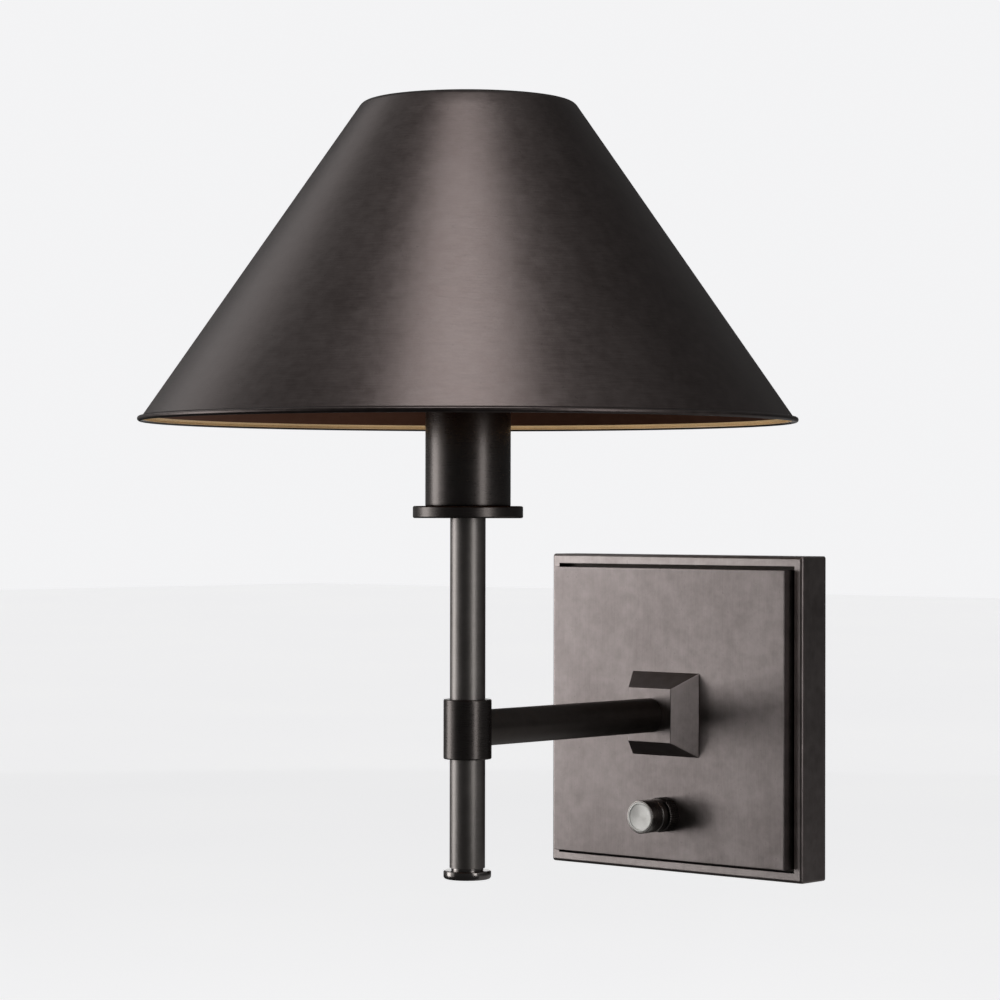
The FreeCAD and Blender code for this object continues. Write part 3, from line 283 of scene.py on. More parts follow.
plate_metal = bronze("plate_metal", (0.186, 0.160, 0.154), (0.305, 0.268, 0.260),
                     (0.30, 0.42), upright_strokes, patina=0.7)
# Painted highlight: a lighter copy of plate_metal for the frame's front faces, standing for the
# light they catch.
frame_front_painted_highlight = bronze("frame_front_painted_highlight", (0.270, 0.236, 0.226), (0.440, 0.392, 0.380),
                    (0.30, 0.42), upright_strokes, patina=0.7)
# Painted shade: a darker copy of plate_metal for the frame's groove and inside, where shade falls.
groove_painted_shade = bronze("groove_painted_shade", (0.040, 0.034, 0.030), (0.070, 0.061, 0.056),
                      (0.40, 0.55), upright_strokes, patina=0.7)
bright_disc = bronze("bright_disc", (0.42, 0.41, 0.39), (0.52, 0.51, 0.49),
                     (0.24, 0.36), round_dimmer, "Y", patina=0.3, relief=0.10)


def plain_metal(name, colour, rough):
    """Plain metal: a slightly clouded colour and an even fine grain."""
    material, tree, shader = start_material(name, Metallic=1.0)
    here = own_place(tree)
    cloud = noise(tree, here, 120.0, 4.0, 0.6)
    fine = noise(tree, here, 900.0, 3.0, 0.6)
    darker = tuple(0.72 * v for v in colour)
    tree.links.new(blend_colours(tree, spread(tree, cloud, 0.3, 0.7), darker, colour),
                   shader.inputs["Base Color"])
    tree.links.new(spread(tree, fine, 0.3, 0.7, *rough), shader.inputs["Roughness"])
    bump(tree, shader, fine, 0.10, 0.00008)
    return material


zinc_steel = plain_metal("zinc_steel", (0.56, 0.56, 0.55), (0.30, 0.44))
black_steel = plain_metal("black_steel", (0.060, 0.058, 0.056), (0.32, 0.48))
plain_brass = plain_metal("plain_brass", (0.72, 0.53, 0.25), (0.20, 0.34))
cap_metal = plain_metal("cap_metal", (0.74, 0.74, 0.72), (0.20, 0.32))
solder = plain_metal("solder", (0.60, 0.58, 0.53), (0.28, 0.46))
filament = plain_metal("filament", (0.34, 0.33, 0.32), (0.30, 0.42))


# ---------------------------------------------------------------- other finishes

def moulded(name, colour, rough, grain):
    """Plastic, ceramic or lacquer: a slightly clouded colour with a fine grain."""
    material, tree, shader = start_material(name)
    here = own_place(tree)
    cloud = noise(tree, here, 90.0, 4.0, 0.6)
    fine = noise(tree, here, grain, 2.0, 0.5)
    darker = tuple(0.86 * v for v in colour)
    tree.links.new(blend_colours(tree, spread(tree, cloud, 0.3, 0.7), darker, colour),
                   shader.inputs["Base Color"])
    tree.links.new(spread(tree, fine, 0.3, 0.7, *rough), shader.inputs["Roughness"])
    bump(tree, shader, fine, 0.12, 0.00006)
    return material


holder_ceramic = moulded("holder_ceramic", (0.84, 0.82, 0.77), (0.42, 0.58), 1500.0)
# Painted highlight: a cream band standing for the light caught by the inside of the shade's rolled
# bead.
rim_painted_highlight = moulded("rim_painted_highlight", (0.92, 0.62, 0.31), (0.24, 0.36), 1500.0)
nut_plastic = moulded("nut_plastic", (0.045, 0.043, 0.042), (0.34, 0.46), 1800.0)
cap_insulator = moulded("cap_insulator", (0.025, 0.025, 0.030), (0.14, 0.22), 900.0)
dimmer_plastic = moulded("dimmer_plastic", (0.055, 0.055, 0.060), (0.38, 0.50), 1600.0)
block_plastic = moulded("block_plastic", (0.80, 0.79, 0.74), (0.34, 0.46), 1500.0)
live_insulation = moulded("live_insulation", (0.035, 0.035, 0.035), (0.36, 0.46), 2200.0)
feed_insulation = moulded("feed_insulation", (0.30, 0.035, 0.028), (0.36, 0.46), 2200.0)
neutral_insulation = moulded("neutral_insulation", (0.76, 0.76, 0.73), (0.36, 0.46), 2200.0)
earth_insulation = moulded("earth_insulation", (0.045, 0.26, 0.065), (0.36, 0.46), 2200.0)


def frosted_glass():
    """Bulb glass coated white inside, which spreads a mild warm light over the shade's inside."""
    material, tree, shader = start_material(
        "bulb_glass", Roughness=0.16, Emission_Color=(1.0, 0.80, 0.56), Emission_Strength=0.55,
        Coat_Weight=0.6, Coat_Roughness=0.05)
    cloud = noise(tree, own_place(tree), 60.0, 3.0, 0.5)
    tree.links.new(blend_colours(tree, spread(tree, cloud, 0.3, 0.7), (0.66, 0.64, 0.60),
                                 (0.73, 0.71, 0.67)), shader.inputs["Base Color"])
    return material


def clear_glass():
    material, tree, shader = start_material("stem_glass", Transmission_Weight=1.0, IOR=1.46,
                                            Base_Color=(0.92, 0.95, 0.95))
    ripple = noise(tree, own_place(tree), 300.0, 2.0, 0.5)
    tree.links.new(spread(tree, ripple, 0.3, 0.7, 0.01, 0.05), shader.inputs["Roughness"])
    return material


bulb_glass = frosted_glass()
stem_glass = clear_glass()


# ---------------------------------------------------------------- making pieces

def on_post(radius, angle, level):
    """The place at an angle round the post's axis, from a radius and a level in mm."""
    return (POST.x + radius * MM * math.cos(angle), POST.y + radius * MM * math.sin(angle),
            level * MM)


def on_wall(across, up):
    """Places round a line square to the wall, where a level is the distance out from it."""
    def place(radius, angle, out):
        return (across + radius * MM * math.cos(angle), -out * MM,
                up + radius * MM * math.sin(angle))
    return place


def rounded(corners, steps=5):
    """Points of a closed outline through (radius, level, rounding) corners, in mm."""
    points = []
    for k, (radius, level, rounding) in enumerate(corners):
        here = Vector((radius, level))
        if not rounding:
            points.append(here)
            continue
        before = (Vector(corners[k - 1][:2]) - here).normalized()
        after = (Vector(corners[(k + 1) % len(corners)][:2]) - here).normalized()
        half = before.angle(after) / 2
        centre = here + (before + after).normalized() * rounding / math.sin(half)
        first = (here + before * rounding / math.tan(half) - centre).normalized()
        last = (here + after * rounding / math.tan(half) - centre).normalized()
        points += [centre + first.slerp(last, s / steps) * rounding for s in range(steps + 1)]
    return points


def arc(centre, radius, start, stop, steps):
    """Corners along an arc, from one angle in degrees to another."""
    angles = [math.radians(start + (stop - start) * s / steps) for s in range(steps + 1)]
    return [(centre[0] + radius * math.cos(a), centre[1] + radius * math.sin(a), 0)
            for a in angles]


def upright(radius, low, high, step):
    """Corners of a straight upright wall, close enough together to carry a thread."""
    count = max(1, round(abs(high - low) / step))
    return [(radius, low + (high - low) * k / count, 0) for k in range(count + 1)]


def new_piece(name, work, sharp=32):
    """Turn a bmesh into an object whose edges above the sharp angle stay crisp."""
    bmesh.ops.recalc_face_normals(work, faces=work.faces)
    mesh = bpy.data.meshes.new(name)
    work.to_mesh(mesh)
    work.free()
    for polygon in mesh.polygons:
        polygon.use_smooth = True
    mesh.set_sharp_from_angle(angle=math.radians(sharp))
    piece = bpy.data.objects.new(name, mesh)
    bpy.context.scene.collection.objects.link(piece)
    return piece


def turn(work, place, outline, turns=128, swell=None):
    """Add a turned shape to a bmesh; swell(angle, radius, level) gives its radius there."""
    rings = []
    for radius, level in outline:
        if radius < 1e-6:
            rings.append([work.verts.new(place(0, 0, level))])
            continue
        ring = []
        for k in range(turns):
            angle = 2 * math.pi * k / turns
            out = swell(angle, radius, level) if swell else radius
            ring.append(work.verts.new(place(out, angle, level)))
        rings.append(ring)
    for first, second in zip(rings, rings[1:] + rings[:1]):
        for k in range(turns):
            after = (k + 1) % turns
            corners = [first[k % len(first)], first[after % len(first)],
                       second[after % len(second)], second[k % len(second)]]
            corners = list(dict.fromkeys(corners))
            if len(corners) > 2:
                work.faces.new(corners)


def turned_piece(name, place, outline, turns=128, swell=None):
    work = bmesh.new()
    turn(work, place, outline, turns, swell)
    return new_piece(name, work)


def softened(node, width):
    """The node's own solid with each sharp edge slightly rounded, as a made piece has."""
    work = bmesh.new()
    work.from_mesh(nodes[node].data)
    bmesh.ops.remove_doubles(work, verts=work.verts, dist=2e-6)
    bmesh.ops.dissolve_limit(work, angle_limit=math.radians(0.4), verts=work.verts,
                             edges=work.edges)
    edges = [e for e in work.edges
             if len(e.link_faces) == 2 and e.calc_face_angle() > math.radians(35)]
    bmesh.ops.bevel(work, geom=edges, offset=width * MM, segments=2, profile=0.5,
                    affect="EDGES", clamp_overlap=True)
    piece = new_piece(node + "_made", work, sharp=70)
    piece.modifiers.new("even_shading", "WEIGHTED_NORMAL").keep_sharp = True
    return piece


def crisp_edge(piece, half, out, old_round, new_round):
    """Draw a square plate's rounded front edge in to a smaller rounding."""
    for vert in piece.data.vertices:
        at = [abs(vert.co.x) / MM, abs(vert.co.z) / MM]
        side = max(at) - (half - old_round)
        depth = -vert.co.y / MM - (out - old_round)
        if side <= 0 or depth <= 0:
            continue
        scale = new_round / old_round
        new_side = half - new_round + side * scale
        grow = new_side / max(at)
        for axis, value in ((0, at[0]), (2, at[1])):
            if value > half - old_round:
                vert.co[axis] *= grow
        vert.co.y = -(out - new_round + depth * scale) * MM


def place_piece(piece, material, slot, body, *stands_for):
    """Give a piece its material, hang it on its body and hide the nodes it stands for; slot is not
    used.
    """
    piece.data.materials.append(material)
    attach(piece, body)
    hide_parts(*stands_for)
    return piece


def thread(low, high, pitch, depth, over=0.0):
    """A rounded helical thread between two levels, sunk into whatever is wider than over."""
    def swell(angle, radius, level):
        fade = max(0.0, min(1.0, (level - low) / pitch, (high - level) / pitch))
        if radius < over:
            return radius
        return radius - depth * fade * (0.5 - 0.5 * math.cos(2 * math.pi * level / pitch - angle))
    return swell


def fluted(count, over, depth):
    """Even flutes, sunk into whatever is wider than over."""
    def swell(angle, radius, level):
        if radius < over:
            return radius
        return radius - depth * (0.5 + 0.5 * math.cos(count * angle)) ** 2
    return swell


# ---------------------------------------------------------------- shade

SHADE_RIM = 118.9
SHADE_FOOT_RADIUS = 126.0
SHADE_TOP = 241.7
SHADE_TOP_RADIUS = 40.9
SHADE_WALL = 1.2
SHADE_LIP = 7.0
SHADE_SHOULDER = 4.0
BEAD_RADIUS = 1.05
BEAD_REACH = 127.0
BEAD_LEVEL = 119.15
BEAD_FROM = 84
BEAD_TO = -205
CREASE_GAP = 0.25
RIM_HIGHLIGHT_FOOT = 118.8
INWARD = -0.3
SHADE_NODES = [name for name in ("shade", "shade_upper", "shade_top_ring") if name in nodes]


def shade_radius(level):
    slope = (SHADE_FOOT_RADIUS - SHADE_TOP_RADIUS) / (SHADE_TOP - SHADE_RIM)
    return SHADE_FOOT_RADIUS - slope * (level - SHADE_RIM)


def make_shade():
    """A spun cone: rolled bead round the rim, rounded shoulder and an in-turned lip.

    Its inside is red-brown, and a narrow band just inside the bead is painted cream as a painted
    highlight.
    """
    under_lip = SHADE_TOP - SHADE_WALL
    bead_middle = BEAD_REACH - BEAD_RADIUS
    crease = BEAD_LEVEL + BEAD_RADIUS + CREASE_GAP
    corners = [(shade_radius(crease), crease, 0)]
    corners += arc((bead_middle, BEAD_LEVEL), BEAD_RADIUS, BEAD_FROM, BEAD_TO, 26)
    corners += [(shade_radius(crease) - SHADE_WALL, crease, 0)]
    corners += [(shade_radius(level) - SHADE_WALL, level, 0) for level in range(130, 236, 15)]
    corners += [(shade_radius(under_lip) - SHADE_WALL, under_lip, SHADE_SHOULDER - SHADE_WALL),
                (SHADE_TOP_RADIUS - SHADE_LIP, under_lip, 0.4),
                (SHADE_TOP_RADIUS - SHADE_LIP, SHADE_TOP, 0.4),
                (SHADE_TOP_RADIUS, SHADE_TOP, SHADE_SHOULDER)]
    corners += [(shade_radius(level), level, 0) for level in range(235, 129, -15)]
    piece = turned_piece("shade_shell", on_post, rounded(corners), turns=224)
    place_piece(piece, shade_metal, "shade_metal", "lamp", *SHADE_NODES)
    piece.data.materials.append(shade_inside)
    piece.data.materials.append(rim_painted_highlight)
    for polygon in piece.data.polygons:
        outward = Vector((polygon.center.x - POST.x, polygon.center.y - POST.y, 0))
        facing = polygon.normal.dot(outward.normalized())
        # Inward faces get the red-brown inside; those low in the bead get the painted rim
        # highlight.
        if facing < INWARD and RIM_HIGHLIGHT_FOOT * MM < polygon.center.z < under_lip * MM:
            polygon.material_index = 2 if polygon.center.z < crease * MM else 1


make_shade()


# ---------------------------------------------------------------- socket and bulb

CUP_RADIUS = 16.5
CUP_INSIDE = 15.3
CUP_HOLE = 5.05
CUP_FOOT = 86.0
CUP_FLOOR = 87.2
CUP_TOP = 130.0
HOLDER_FOOT = 109.2
HOLDER_RADIUS = 15.1
HOLDER_FLOOR = 113.2
HOLDER_BORE = 13.85
HOLDER_SHOULDER = 132.0
NECK_RADIUS = 15.8
NECK_TOP = 142.0
NECK_PITCH = 2.4
THREAD_DEPTH = 0.7
FOOT_RADIUS = 9.2
FOOT_LIP_THICK = 3.3
FOOT_NECK = 6.2
RING_NUT_BORE = 15.85
RING_NUT_RADIUS = 19.0
RING_NUT_FOOT = 133.5
RING_NUT_TOP = 139.5
RING_NUT_FLUTES = 36
CAP_RADIUS = 13.1
CAP_INSIDE = 12.6
CAP_FOOT = 121.0
CAP_TOP = 143.0
CAP_PITCH = 3.6


def make_socket():
    """The candle cup, and the holder's body with its outside thread standing in it."""
    cup = [(CUP_HOLE, CUP_FOOT, 0), (CUP_RADIUS, CUP_FOOT, 0.3), (CUP_RADIUS, CUP_TOP, 0.5),
           (CUP_INSIDE, CUP_TOP, 0.5), (CUP_INSIDE, CUP_FLOOR, 0.3), (CUP_HOLE, CUP_FLOOR, 0)]
    place_piece(turned_piece("cup_shell", on_post, rounded(cup)), turned_metal, "dark_metal",
                "lamp", "socket_cup")
    body = [(0, HOLDER_FOOT, 0), (HOLDER_RADIUS, HOLDER_FOOT, 0.3), (HOLDER_RADIUS, CUP_TOP, 0),
            (CUP_RADIUS, CUP_TOP, 0.2), (CUP_RADIUS, HOLDER_SHOULDER, 0.5),
            (NECK_RADIUS, HOLDER_SHOULDER, 0)]
    body += upright(NECK_RADIUS, HOLDER_SHOULDER + 1.4, NECK_TOP - 0.8, 0.3)
    body += [(NECK_RADIUS, NECK_TOP, 0.7), (HOLDER_BORE, NECK_TOP, 0.5),
             (HOLDER_BORE, HOLDER_FLOOR, 0), (0, HOLDER_FLOOR, 0)]
    place_piece(turned_piece("holder_with_thread", on_post, rounded(body), 96,
                             thread(HOLDER_SHOULDER + 0.6, NECK_TOP, NECK_PITCH, THREAD_DEPTH,
                                    over=NECK_RADIUS - 0.1)),
                holder_ceramic, "holder_ceramic", "lamp", "lampholder_body")


def make_foot():
    """The post's end cap: a flat lip with a neck, its edge turned to a small round."""
    low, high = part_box("end_cap")
    level, top = low[2] / MM, high[2] / MM
    lip = FOOT_LIP_THICK + level
    outline = rounded([(0, level, 0), (FOOT_RADIUS, level, 1.1), (FOOT_RADIUS, lip, 0.6),
                       (FOOT_NECK, lip, 0), (FOOT_NECK, top, 0.3), (0, top, 0)])
    place_piece(turned_piece("foot_cap", on_post, outline), foot_metal, "dark_metal", "lamp",
                "end_cap")


def make_ring_nut():
    """A moulded ring nut, fluted round its edge for the fingers."""
    outline = rounded([(RING_NUT_BORE, RING_NUT_FOOT, 0.3), (RING_NUT_RADIUS, RING_NUT_FOOT, 0.6),
                       (RING_NUT_RADIUS, RING_NUT_TOP, 0.9), (RING_NUT_BORE, RING_NUT_TOP, 0.4)])
    place_piece(turned_piece("fluted_ring_nut", on_post, outline, RING_NUT_FLUTES * 8,
                             fluted(RING_NUT_FLUTES, RING_NUT_RADIUS - 1.0, 0.55)),
                nut_plastic, "nut_plastic", "lamp", "shade_ring_nut")


def make_bulb_cap():
    """The bulb's rolled screw cap: one thin sheet, so that both its faces carry the thread."""
    corners = upright(CAP_RADIUS, CAP_FOOT, CAP_TOP, 0.4)
    corners += upright(CAP_INSIDE, CAP_TOP, CAP_FOOT, 0.4)
    place_piece(turned_piece("bulb_screw_cap", on_post, rounded(corners), 96,
                             thread(CAP_FOOT + 0.6, CAP_TOP - 2.2, CAP_PITCH, THREAD_DEPTH)),
                cap_metal, "cap_metal", "bulb", "bulb_cap")


make_socket()
make_foot()
make_ring_nut()
make_bulb_cap()


# ---------------------------------------------------------------- plates, bracket and fittings

RECESS_LONG = 2.6
RECESS_NARROW = 0.62
RECESS_DEPTH = 1.1
KNOB_RADIUS = 6.85
KNOB_NECK = 5.2
KNOB_BORE = 3.05
KNOB_BORE_END = 35.7
KNOB_SHOULDER = 27.8
KNOB_GROOVE = 31.0
KNOB_HOLE_OUT = 33.1
KNOB_HOLE_RADIUS = 1.55
FACE_RADIUS = 6.1
FACE_SOCKET = 6.15
FACE_DISH = 0.14
NUT_RADIUS = 7.2
NUT_BORE = 3.55
NUT_FLUTES = 44
SCREW_SPOT = 54.0
SCREW_HEAD_RADIUS = 2.8
SCREW_HEAD_BACK = 7.2
SCREW_HEAD_FRONT = 9.0
SCREW_RADIUS = 1.5
SCREW_TIP = 16.5


def cross_recess(across, up, out_from):
    """Two crossed wedges that cut a screw's cross recess, from the side towards the wall."""
    tools = []
    for wide, tall in ((RECESS_LONG, RECESS_NARROW), (RECESS_NARROW, RECESS_LONG)):
        work = bmesh.new()
        bmesh.ops.create_cube(work, size=1.0)
        for vert in work.verts:
            tip = vert.co.y < 0
            shrink = 0.35 if tip else 1.0
            vert.co = Vector((across + vert.co.x * wide * shrink * MM,
                              -(out_from + (RECESS_DEPTH if tip else -RECESS_DEPTH)) * MM,
                              up + vert.co.z * tall * (0.8 if tip else 1.0) * MM))
        tools.append(new_piece("recess", work))
    return tools


def cut_out(piece, tools):
    """Cut each tool out of a piece, and delete the tool."""
    for tool in tools:
        cut = piece.modifiers.new("recess", "BOOLEAN")
        cut.operation = "DIFFERENCE"
        cut.object = tool
        cut.solver = "EXACT"
        bpy.context.view_layer.update()
        result = bpy.data.meshes.new_from_object(
            piece.evaluated_get(bpy.context.evaluated_depsgraph_get()))
        piece.modifiers.remove(cut)
        piece.data = result
        bpy.data.objects.remove(tool)
    return piece


def make_knob():
    """Dimmer knob: a turned grip with one fine groove, and its screw hole underneath."""
    front = -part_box("knob")[0][1] / MM
    back = -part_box("knob")[1][1] / MM
    floor = -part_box("knob_face_disc")[1][1] / MM
    outline = rounded([
        (KNOB_BORE, back, 0), (KNOB_NECK, back, 0.15), (KNOB_NECK, KNOB_SHOULDER, 0),
        (KNOB_RADIUS, KNOB_SHOULDER, 0.35), (KNOB_RADIUS, KNOB_GROOVE - 0.4, 0.1),
        (KNOB_RADIUS - 0.4, KNOB_GROOVE, 0), (KNOB_RADIUS, KNOB_GROOVE + 0.4, 0.1),
        (KNOB_RADIUS, front, 0.3), (FACE_SOCKET, front, 0), (FACE_SOCKET, floor, 0), (0, floor, 0),
        (0, KNOB_BORE_END, 0), (KNOB_BORE, KNOB_BORE_END, 0)])
    piece = turned_piece("turned_knob", on_wall(0, DIMMER[2]), outline)

    def downward(radius, angle, down):
        return (radius * MM * math.cos(angle), -(KNOB_HOLE_OUT - radius * math.sin(angle)) * MM,
                DIMMER[2] - down * MM)

    drill = rounded([(0, 2.2, 0), (KNOB_HOLE_RADIUS, 2.2, 0), (KNOB_HOLE_RADIUS, 8.0, 0),
                     (0, 8.0, 0)])
    hole = turned_piece("hole", downward, drill, 32)
    place_piece(cut_out(piece, [hole]), knob_metal, "dark_metal", "dimmer_knob", "knob")


def make_knob_face():
    """Bright disc let into the knob's end, dished inside a narrow raised edge."""
    low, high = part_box("knob_face_disc")
    front, back = -low[1] / MM, -high[1] / MM
    outline = rounded([(0, back, 0), (FACE_RADIUS, back, 0), (FACE_RADIUS, front, 0.15),
                       (FACE_RADIUS - 0.6, front, 0.1),
                       (FACE_RADIUS - 0.8, front - FACE_DISH, 0.1), (0, front - FACE_DISH, 0)])
    place_piece(turned_piece("turned_knob_face", on_wall(0, DIMMER[2]), outline), bright_disc,
                "bright_disc", "dimmer_knob", "knob_face_disc")


def make_dress_nut():
    """Round nut behind the knob, finely fluted to be turned by hand."""
    low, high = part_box("dress_nut")
    front, back = -low[1] / MM, -high[1] / MM
    outline = rounded([(NUT_BORE, back, 0), (NUT_RADIUS, back, 0.15), (NUT_RADIUS, front, 0.7),
                       (NUT_BORE, front, 0.2)])
    place_piece(turned_piece("fluted_dress_nut", on_wall(0, DIMMER[2]), outline, NUT_FLUTES * 6,
                             fluted(NUT_FLUTES, NUT_RADIUS - 0.4, 0.16)),
                turned_metal, "dark_metal", "lamp", "dress_nut")


def make_plate_screws():
    """Four pan-head screws, driven from behind, that hold the front plate to the ledge."""
    outline = rounded([
        (0, SCREW_HEAD_BACK, 0), (SCREW_HEAD_RADIUS, SCREW_HEAD_BACK, 0.9),
        (SCREW_HEAD_RADIUS, SCREW_HEAD_FRONT, 0.15), (SCREW_RADIUS, SCREW_HEAD_FRONT, 0),
        (SCREW_RADIUS, SCREW_TIP, 0.3), (0, SCREW_TIP, 0)])
    sides = (-SCREW_SPOT * MM, SCREW_SPOT * MM)
    spots = [(across, up) for across in sides for up in sides]
    work = bmesh.new()
    for across, up in spots:
        turn(work, on_wall(across, up), outline, 40)
    piece = new_piece("plate_screw_set", work)
    for across, up in spots:
        cut_out(piece, cross_recess(across, up, SCREW_HEAD_BACK))
    place_piece(piece, zinc_steel, "zinc_steel", "lamp", "plate_screws")


GROOVE_REACH = 2.0
NEARLY_FLUSH = 0.05
PLATE_ROUND = 0.9
PLATE_CRISP = 0.35
SOFTENED = [
    ("arm_boss", 0.45, plate_metal, "plate_metal"),
    ("wall_bracket", 0.30, zinc_steel, "zinc_steel"),
    ("shade_carrier", 0.25, zinc_steel, "zinc_steel"),
    ("nipple_locknut", 0.35, zinc_steel, "zinc_steel"),
    ("terminal_block", 0.60, block_plastic, "block_plastic"),
    ("dimmer_body", 0.60, dimmer_plastic, "dimmer_plastic"),
]


def soften_plates():
    for node, width, material, slot in SOFTENED:
        place_piece(softened(node, width), material, slot, "lamp", node)


def make_frame():
    """The box behind the plate: a painted highlight on its front, painted shade in the groove and
    inside.
    """
    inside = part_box("front_plate")[1][0] + GROOVE_REACH * MM
    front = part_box("backplate_frame")[0][1] + NEARLY_FLUSH * MM
    piece = softened("backplate_frame", 0.35)
    place_piece(piece, plate_metal, "plate_metal", "lamp", "backplate_frame")
    piece.data.materials.append(groove_painted_shade)
    piece.data.materials.append(frame_front_painted_highlight)
    for polygon in piece.data.polygons:
        # Front faces get the painted highlight.
        if polygon.center.y < front:
            polygon.material_index = 2
        # Faces in the groove and inside get the painted shade.
        elif max(abs(polygon.center.x), abs(polygon.center.z)) < inside:
            polygon.material_index = 1


def make_front_plate():
    low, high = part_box("front_plate")
    piece = softened("front_plate", 0.15)
    crisp_edge(piece, high[0] / MM, -low[1] / MM, PLATE_ROUND, PLATE_CRISP)
    place_piece(piece, plate_metal, "plate_metal", "lamp", "front_plate")


make_knob()
make_knob_face()
make_dress_nut()
make_frame()
make_front_plate()
make_plate_screws()
soften_plates()


# ---------------------------------------------------------------- nodes that stay as they are

FINISHES = {
    arm_metal: ["arm_tube"],
    post_metal: ["post_tube"],
    turned_metal: ["post_collar", "socket_flange"],
    zinc_steel: ["nipple_washer", "earth_screw", "dimmer_washer", "dimmer_shaft"],
    black_steel: ["bracket_grub_screws", "collar_grub_screw", "knob_grub_screw"],
    plain_brass: ["arm_nipple", "cup_nipple", "screw_shell", "centre_contact",
                  "lampholder_terminals", "terminal_block_screws"],
    holder_ceramic: ["lampholder_base"],
    bulb_glass: ["bulb_glass"],
    stem_glass: ["bulb_stem"],
    cap_insulator: ["bulb_insulator"],
    solder: ["bulb_contact"],
    filament: ["bulb_filament"],
    live_insulation: ["lamp_live_wire"],
    feed_insulation: ["dimmer_feed_wire"],
    neutral_insulation: ["lamp_neutral_wire"],
    earth_insulation: ["earth_wire"],
}


def dress_nodes():
    """Give the nodes that no piece replaces their finish, without touching their shapes."""
    for material, names in FINISHES.items():
        for name in names:
            mesh = nodes[name].data
            if not mesh.materials:
                mesh.materials.append(material)
            for k in range(len(mesh.materials)):
                mesh.materials[k] = material


dress_nodes()


# ---------------------------------------------------------------- studio

LOOK_AT = Vector((0, POST.y, 0.08))
FLOOR_LEVEL = -0.38
FLOOR_HALF = 14.0
FLOOR_GLOW = 0.56
ROOM_LIGHT = 0.45
FLOOR_CARD_REACH = 4.5
WHITE_ROOM = (0.90, 0.90, 0.91)


def towards(azimuth, elevation):
    """Unit vector: azimuth in degrees from +X towards +Y, elevation in degrees up."""
    a, e = math.radians(azimuth), math.radians(elevation)
    return Vector((math.cos(a) * math.cos(e), math.sin(a) * math.cos(e), math.sin(e)))


def softbox(name, azimuth, elevation, distance, width, height, radiance):
    light = bpy.data.lights.new(name, "AREA")
    light.shape = "RECTANGLE"
    light.size = width
    light.size_y = height
    light.energy = radiance * math.pi * width * height
    lamp = bpy.data.objects.new(name, light)
    bpy.context.scene.collection.objects.link(lamp)
    outward = towards(azimuth, elevation)
    lamp.location = LOOK_AT + outward * distance
    lamp.rotation_euler = outward.to_track_quat("Z", "Y").to_euler()
    lamp.visible_camera = False


def plain_mesh(name, verts, faces, material):
    mesh = bpy.data.meshes.new(name)
    mesh.from_pydata(verts, [], faces)
    mesh.update()
    piece = bpy.data.objects.new(name, mesh)
    bpy.context.scene.collection.objects.link(piece)
    mesh.materials.append(material)
    return piece


def seen_by_eye(tree):
    """1 where a ray comes from the camera or from a mirror-like or clear surface, else 0."""
    path = add(tree, "LightPath")
    seen = maths(tree, "ADD", path.outputs["Is Camera Ray"], path.outputs["Is Glossy Ray"])
    return maths(tree, "ADD", seen, path.outputs["Is Transmission Ray"], clamp=True)


def make_floor():
    """A pale floor that keeps the shadow and glows a little to the eye."""
    half = FLOOR_HALF
    material, tree, shader = start_material("floor_paint", Roughness=0.9, Specular_IOR_Level=0.1,
                                            Emission_Color=WHITE_ROOM)
    tint = noise(tree, own_place(tree), 1.5, 2.0, 0.5)
    tree.links.new(blend_colours(tree, spread(tree, tint, 0.3, 0.7), (0.80, 0.80, 0.80),
                                 (0.83, 0.83, 0.82)), shader.inputs["Base Color"])
    tree.links.new(spread(tree, seen_by_eye(tree), 0.0, 1.0, 0.0, FLOOR_GLOW),
                   shader.inputs["Emission Strength"])
    floor = plain_mesh("floor", [(-half, -half, FLOOR_LEVEL), (half, -half, FLOOR_LEVEL),
                                 (half, half, FLOOR_LEVEL), (-half, half, FLOOR_LEVEL)],
                       [(0, 1, 2, 3)], material)


def hang_card(name, verts, faces, radiance):
    """A grey card that only reflections see, as a studio's flag shapes them in metal."""
    material = start_material(name, Base_Color=(0.0, 0.0, 0.0), Specular_IOR_Level=0.0,
                              Emission_Color=(1.0, 1.0, 1.0), Emission_Strength=radiance)[0]
    card = plain_mesh(name, verts, faces, material)
    card.visible_camera = False
    card.visible_diffuse = False
    card.visible_shadow = False
    card.visible_transmission = False


def wall_card(name, azimuths, elevations, radiance, distance=2.6, steps=10):
    """A card bent round the lamp between two azimuths and two elevations, in degrees."""
    verts = []
    for row in range(steps + 1):
        for column in range(steps + 1):
            a = azimuths[0] + (azimuths[1] - azimuths[0]) * column / steps
            e = elevations[0] + (elevations[1] - elevations[0]) * row / steps
            verts.append(LOOK_AT + towards(a, e) * distance)
    wide = steps + 1
    faces = [(r * wide + c, r * wide + c + 1, (r + 1) * wide + c + 1, (r + 1) * wide + c)
             for r in range(steps) for c in range(steps)]
    hang_card(name, verts, faces, radiance)


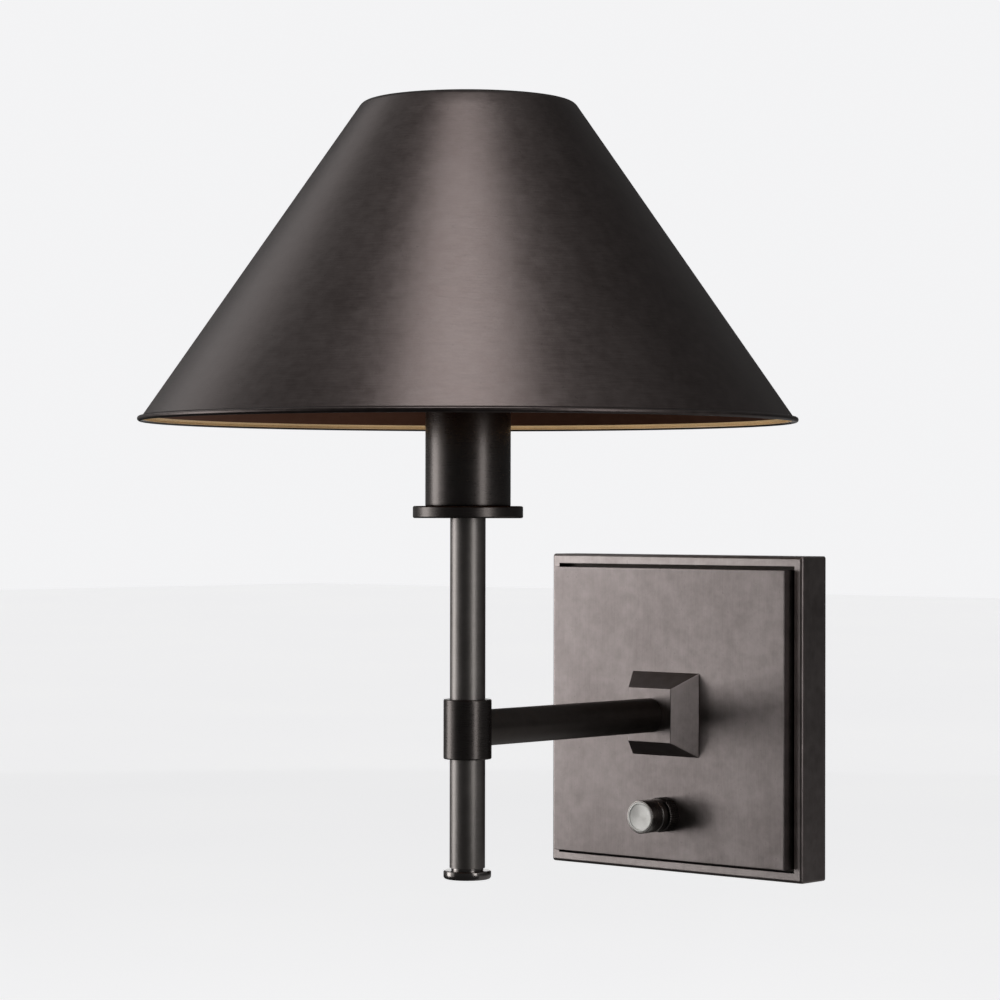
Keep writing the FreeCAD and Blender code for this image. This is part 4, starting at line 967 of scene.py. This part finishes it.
def floor_card(name, azimuths, radiance, steps=12):
    """A sector of a flat card that lies just over the floor."""
    level = FLOOR_LEVEL + 0.01
    verts = [(LOOK_AT.x, LOOK_AT.y, level)]
    for k in range(steps + 1):
        outward = towards(azimuths[0] + (azimuths[1] - azimuths[0]) * k / steps, 0)
        edge = LOOK_AT + outward * FLOOR_CARD_REACH
        verts.append((edge.x, edge.y, level))
    hang_card(name, verts, [(0, k, k + 1) for k in range(1, steps + 1)], radiance)


def make_world():
    """A dim pale room that the eye and mirrors see at full strength."""
    world = bpy.data.worlds.new("white_room")
    bpy.context.scene.world = world
    world.use_nodes = True
    tree = world.node_tree
    background = next(n for n in tree.nodes if n.type == "BACKGROUND")
    tree.links.new(spread(tree, seen_by_eye(tree), 0.0, 1.0, ROOM_LIGHT, 1.0),
                   background.inputs["Strength"])
    background.inputs["Color"].default_value = (*WHITE_ROOM, 1)


def make_studio():
    make_world()
    make_floor()
    softbox("overhead_softbox", -54, 68, 1.7, 0.80, 0.50, 4.7)
    softbox("left_panel", -126, 0, 1.9, 0.60, 1.10, 0.56)
    softbox("left_strip", -148, 6, 1.7, 0.74, 1.20, 3.6)
    softbox("right_strip", -9, 10, 0.45, 0.12, 0.50, 2.6)
    wall_card("card_front", (-124, -24), (-12, 58), 0.05)
    wall_card("card_right_low", (-24, 14), (-12, 58), 0.10)
    wall_card("card_right_side", (14, 112), (-12, 16), 0.06)
    wall_card("card_right_high", (14, 50), (16, 60), 0.24)
    wall_card("card_right_back", (50, 112), (16, 60), 0.10)
    wall_card("card_back", (112, 150), (-12, 60), 0.06)
    wall_card("card_back_low", (120, 140), (-6, 9), 1.1, distance=2.5)
    wall_card("card_flank_back", (150, 168), (-12, 60), 0.14)
    wall_card("card_flank", (168, 192), (20, 46), 1.05)
    wall_card("card_flank_top", (168, 200), (46, 60), 0.48)
    wall_card("card_flank_left", (192, 200), (20, 46), 0.50)
    wall_card("card_left_edge", (168, 200), (-12, 20), 0.10)
    wall_card("card_left_top", (200, 236), (46, 60), 0.34)
    wall_card("card_left_low", (200, 236), (-12, 46), 0.12)
    wall_card("card_overhead", (-180, 180), (58, 90), 0.28, steps=24)
    floor_card("card_floor_right", (10, 125), 0.24)
    floor_card("card_floor", (125, 370), 0.04, steps=24)


make_studio()
bpy.context.scene.view_settings.view_transform = "Standard"
